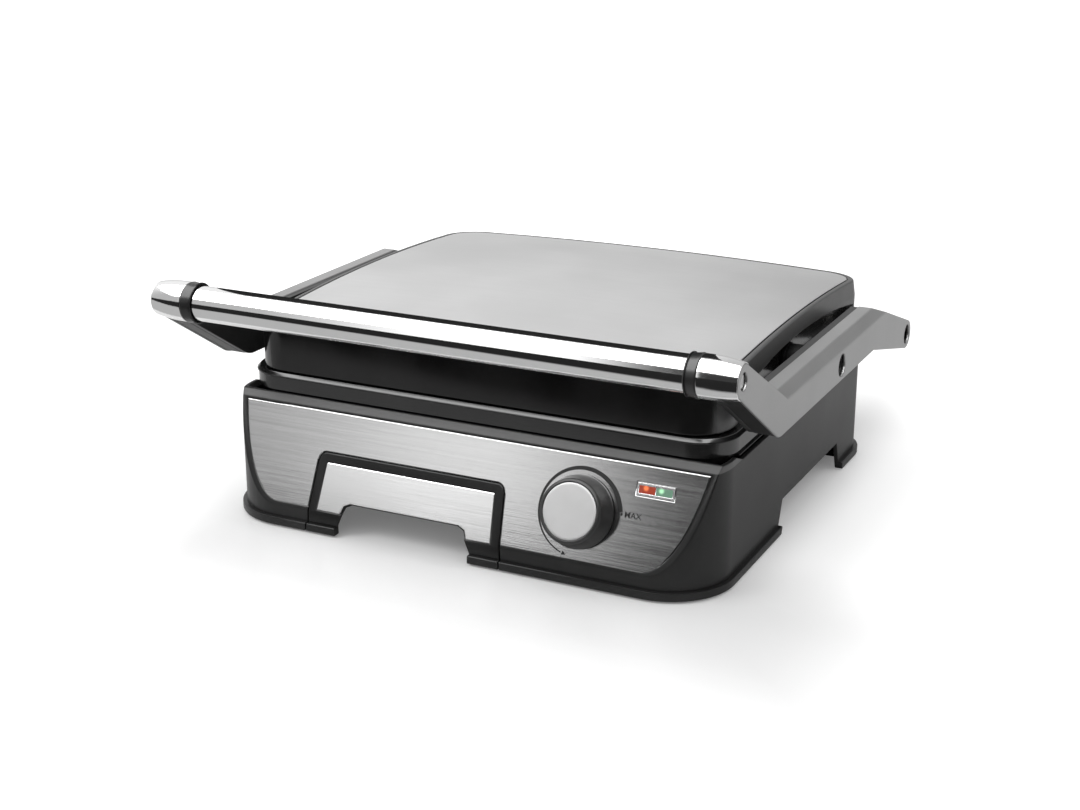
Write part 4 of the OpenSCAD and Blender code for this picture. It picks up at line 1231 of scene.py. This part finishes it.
@dataclass
class Studio:
    """The camera, the world's light, the lamp, the floor and the cards."""

    lens: float = 58.77
    camera_at: Triple = (506.3, -1053.7, 454.2)
    looks_along: Triple = (-0.4185, 0.8491, -0.3225)
    lamp_at: Triple = (-950, -850, 1350)
    lamp_aim: Triple = (0, 0, 80)
    lamp_size: Point2 = (0.9, 0.7)
    lamp_watts: float = 9.0
    room_level: float = 0.85
    floor_size: float = 16000.0
    cards: List[Card] = field(
        default_factory=lambda: [
            Card("horizon_card", (-300, -1100, 132), 3400, 264, 90, 0.02),
            Card("softbox", (-300, -650, 1200), 2400, 1700, 0, 5.5),
            Card("handle_shade", (0, -150, 188), 346, 62, 90, 0.02),
        ]
    )

    def build(self) -> None:
        """Sets up the whole studio."""
        self._camera()
        self._world()
        self._lamp()
        self._floor()
        for card in self.cards:
            card.build()
        bpy.context.scene.view_settings.view_transform = "Standard"

    def _camera(self) -> None:
        """Puts the camera where the photograph was taken from."""
        data = bpy.data.cameras.new("camera")
        data.lens = self.lens
        data.sensor_width = 36.0
        data.sensor_fit = "HORIZONTAL"
        data.clip_start = 0.05
        data.clip_end = 60.0
        camera = linked("camera", data)
        camera.matrix_world = self._aimed(Vector(self.camera_at) * MM, Vector(self.looks_along))
        bpy.context.scene.camera = camera

    @staticmethod
    def _aimed(place: Vector, along: Vector) -> Matrix:
        """The matrix that puts a camera or a lamp at a place, to look along a direction."""
        return Matrix.Translation(place) @ along.to_track_quat("-Z", "Y").to_matrix().to_4x4()

    def _world(self) -> None:
        """Lights evenly, and shows glossy rays a sky of bright and dark fields."""
        world = bpy.data.worlds.new("studio")
        bpy.context.scene.world = world
        r = Recipe(world)
        side, ahead, up = r.axes(r.node("ShaderNodeTexCoord").outputs["Generated"])
        # Behind the object the sky brightens upwards and dims to the right, for the lid's top.
        back = up.ramp(0.0, 0.45, 0.6, 1.0) * side.ramp(-0.48, -0.12, 1.0, 0.62)
        # Low in front a bright field ends short of the right, for the steel front seen by this camera.
        low_front = side.ramp(-0.57, -0.44, 0.52, 1.5) * side.ramp(-0.425, -0.35, 1.0, 0.03)
        high = up.ramp(0.5, 0.72)
        front = ahead.ramp(-0.6, 0.2, 1.0, 0.0)
        shine = back * (1 - front) + (low_front * (1 - high) + high) * front
        glossy, seen = r.ray("Glossy"), r.ray("Camera")
        level = glossy * shine + (1 - glossy) * (seen + (1 - seen) * self.room_level)
        light = r.node("ShaderNodeBackground", inputs={"Color": (1.0, 1.0, 1.0), "Strength": level})
        r.node("ShaderNodeOutputWorld", inputs={"Surface": light})

    def _lamp(self) -> None:
        """Adds the wide soft lamp at the upper left of the front."""
        data = bpy.data.lights.new("key", "AREA")
        data.shape = "RECTANGLE"
        data.size, data.size_y = self.lamp_size
        data.energy = self.lamp_watts
        place = Vector(self.lamp_at) * MM
        linked("key", data).matrix_world = self._aimed(place, Vector(self.lamp_aim) * MM - place)

    def _floor(self) -> None:
        """Makes the pale floor, which keeps the object's shadow and a faint reflection; its glow for camera
        rays is painted light, lifted away from the object and at its sides and lower in front.
        """
        form = Form()
        bmesh.ops.create_grid(form.bm, x_segments=8, y_segments=8, size=self.floor_size / 2)
        r = Recipe.material("pale_floor")
        mirrored, seen = r.ray("Glossy"), r.ray("Camera")
        x, y, _ = r.axes(r.places())
        # How far a place lies outside the object's footprint, in metres.
        away = (x - 0.17).or_more(-0.157 - y).or_more(y - 0.17)
        # Painted light: the floor's camera-ray glow is raised beside the object, which takes its shadow away
        # there, and stays low in front, where the shade is kept.
        beside = x.ramp(0.15, 0.21, 0.0, 0.35) * y.ramp(-0.16, -0.05) + x.ramp(-0.22, -0.15, 0.25, 0.0)
        sheet = r.node(
            "ShaderNodeBsdfPrincipled",
            inputs={
                "Base Color": grey(230),
                "Roughness": 0.35,
                "Specular IOR Level": 0.12,
                "Emission Color": (1.0, 1.0, 1.0),
                "Emission Strength": seen * (away.ramp(0.03, 0.18, 0.13, 0.48) + beside),
            },
        )
        # The pale band that glossy rays see on the floor in front.
        near = (y - x * 0.4).ramp(-0.42, -0.34, 0.02, 0.5)
        band = r.node("ShaderNodeEmission", inputs={"Color": (1.0, 1.0, 1.0), "Strength": near})
        in_front = y.ramp(-0.2, -0.17, 1.0, 0.0)
        mixed = r.node("ShaderNodeMixShader", inputs={0: mirrored * in_front, 1: sheet, 2: band})
        r.node("ShaderNodeOutputMaterial", inputs={"Surface": mixed})
        form.place("floor", r.owner)


def main() -> None:
    """Builds the studio and every sub-assembly."""
    logging.basicConfig(level=logging.INFO, format="%(name)s: %(message)s")
    Studio().build()
    for part in (Housing(), FrontPanel(), DripTray(), Knob(), HandleAndArms(), Lid(), CookingSet(), Hinge()):
        part.build()
        LOG.info("%s is done", type(part).__name__)


if __name__ == "__main__":
    main()
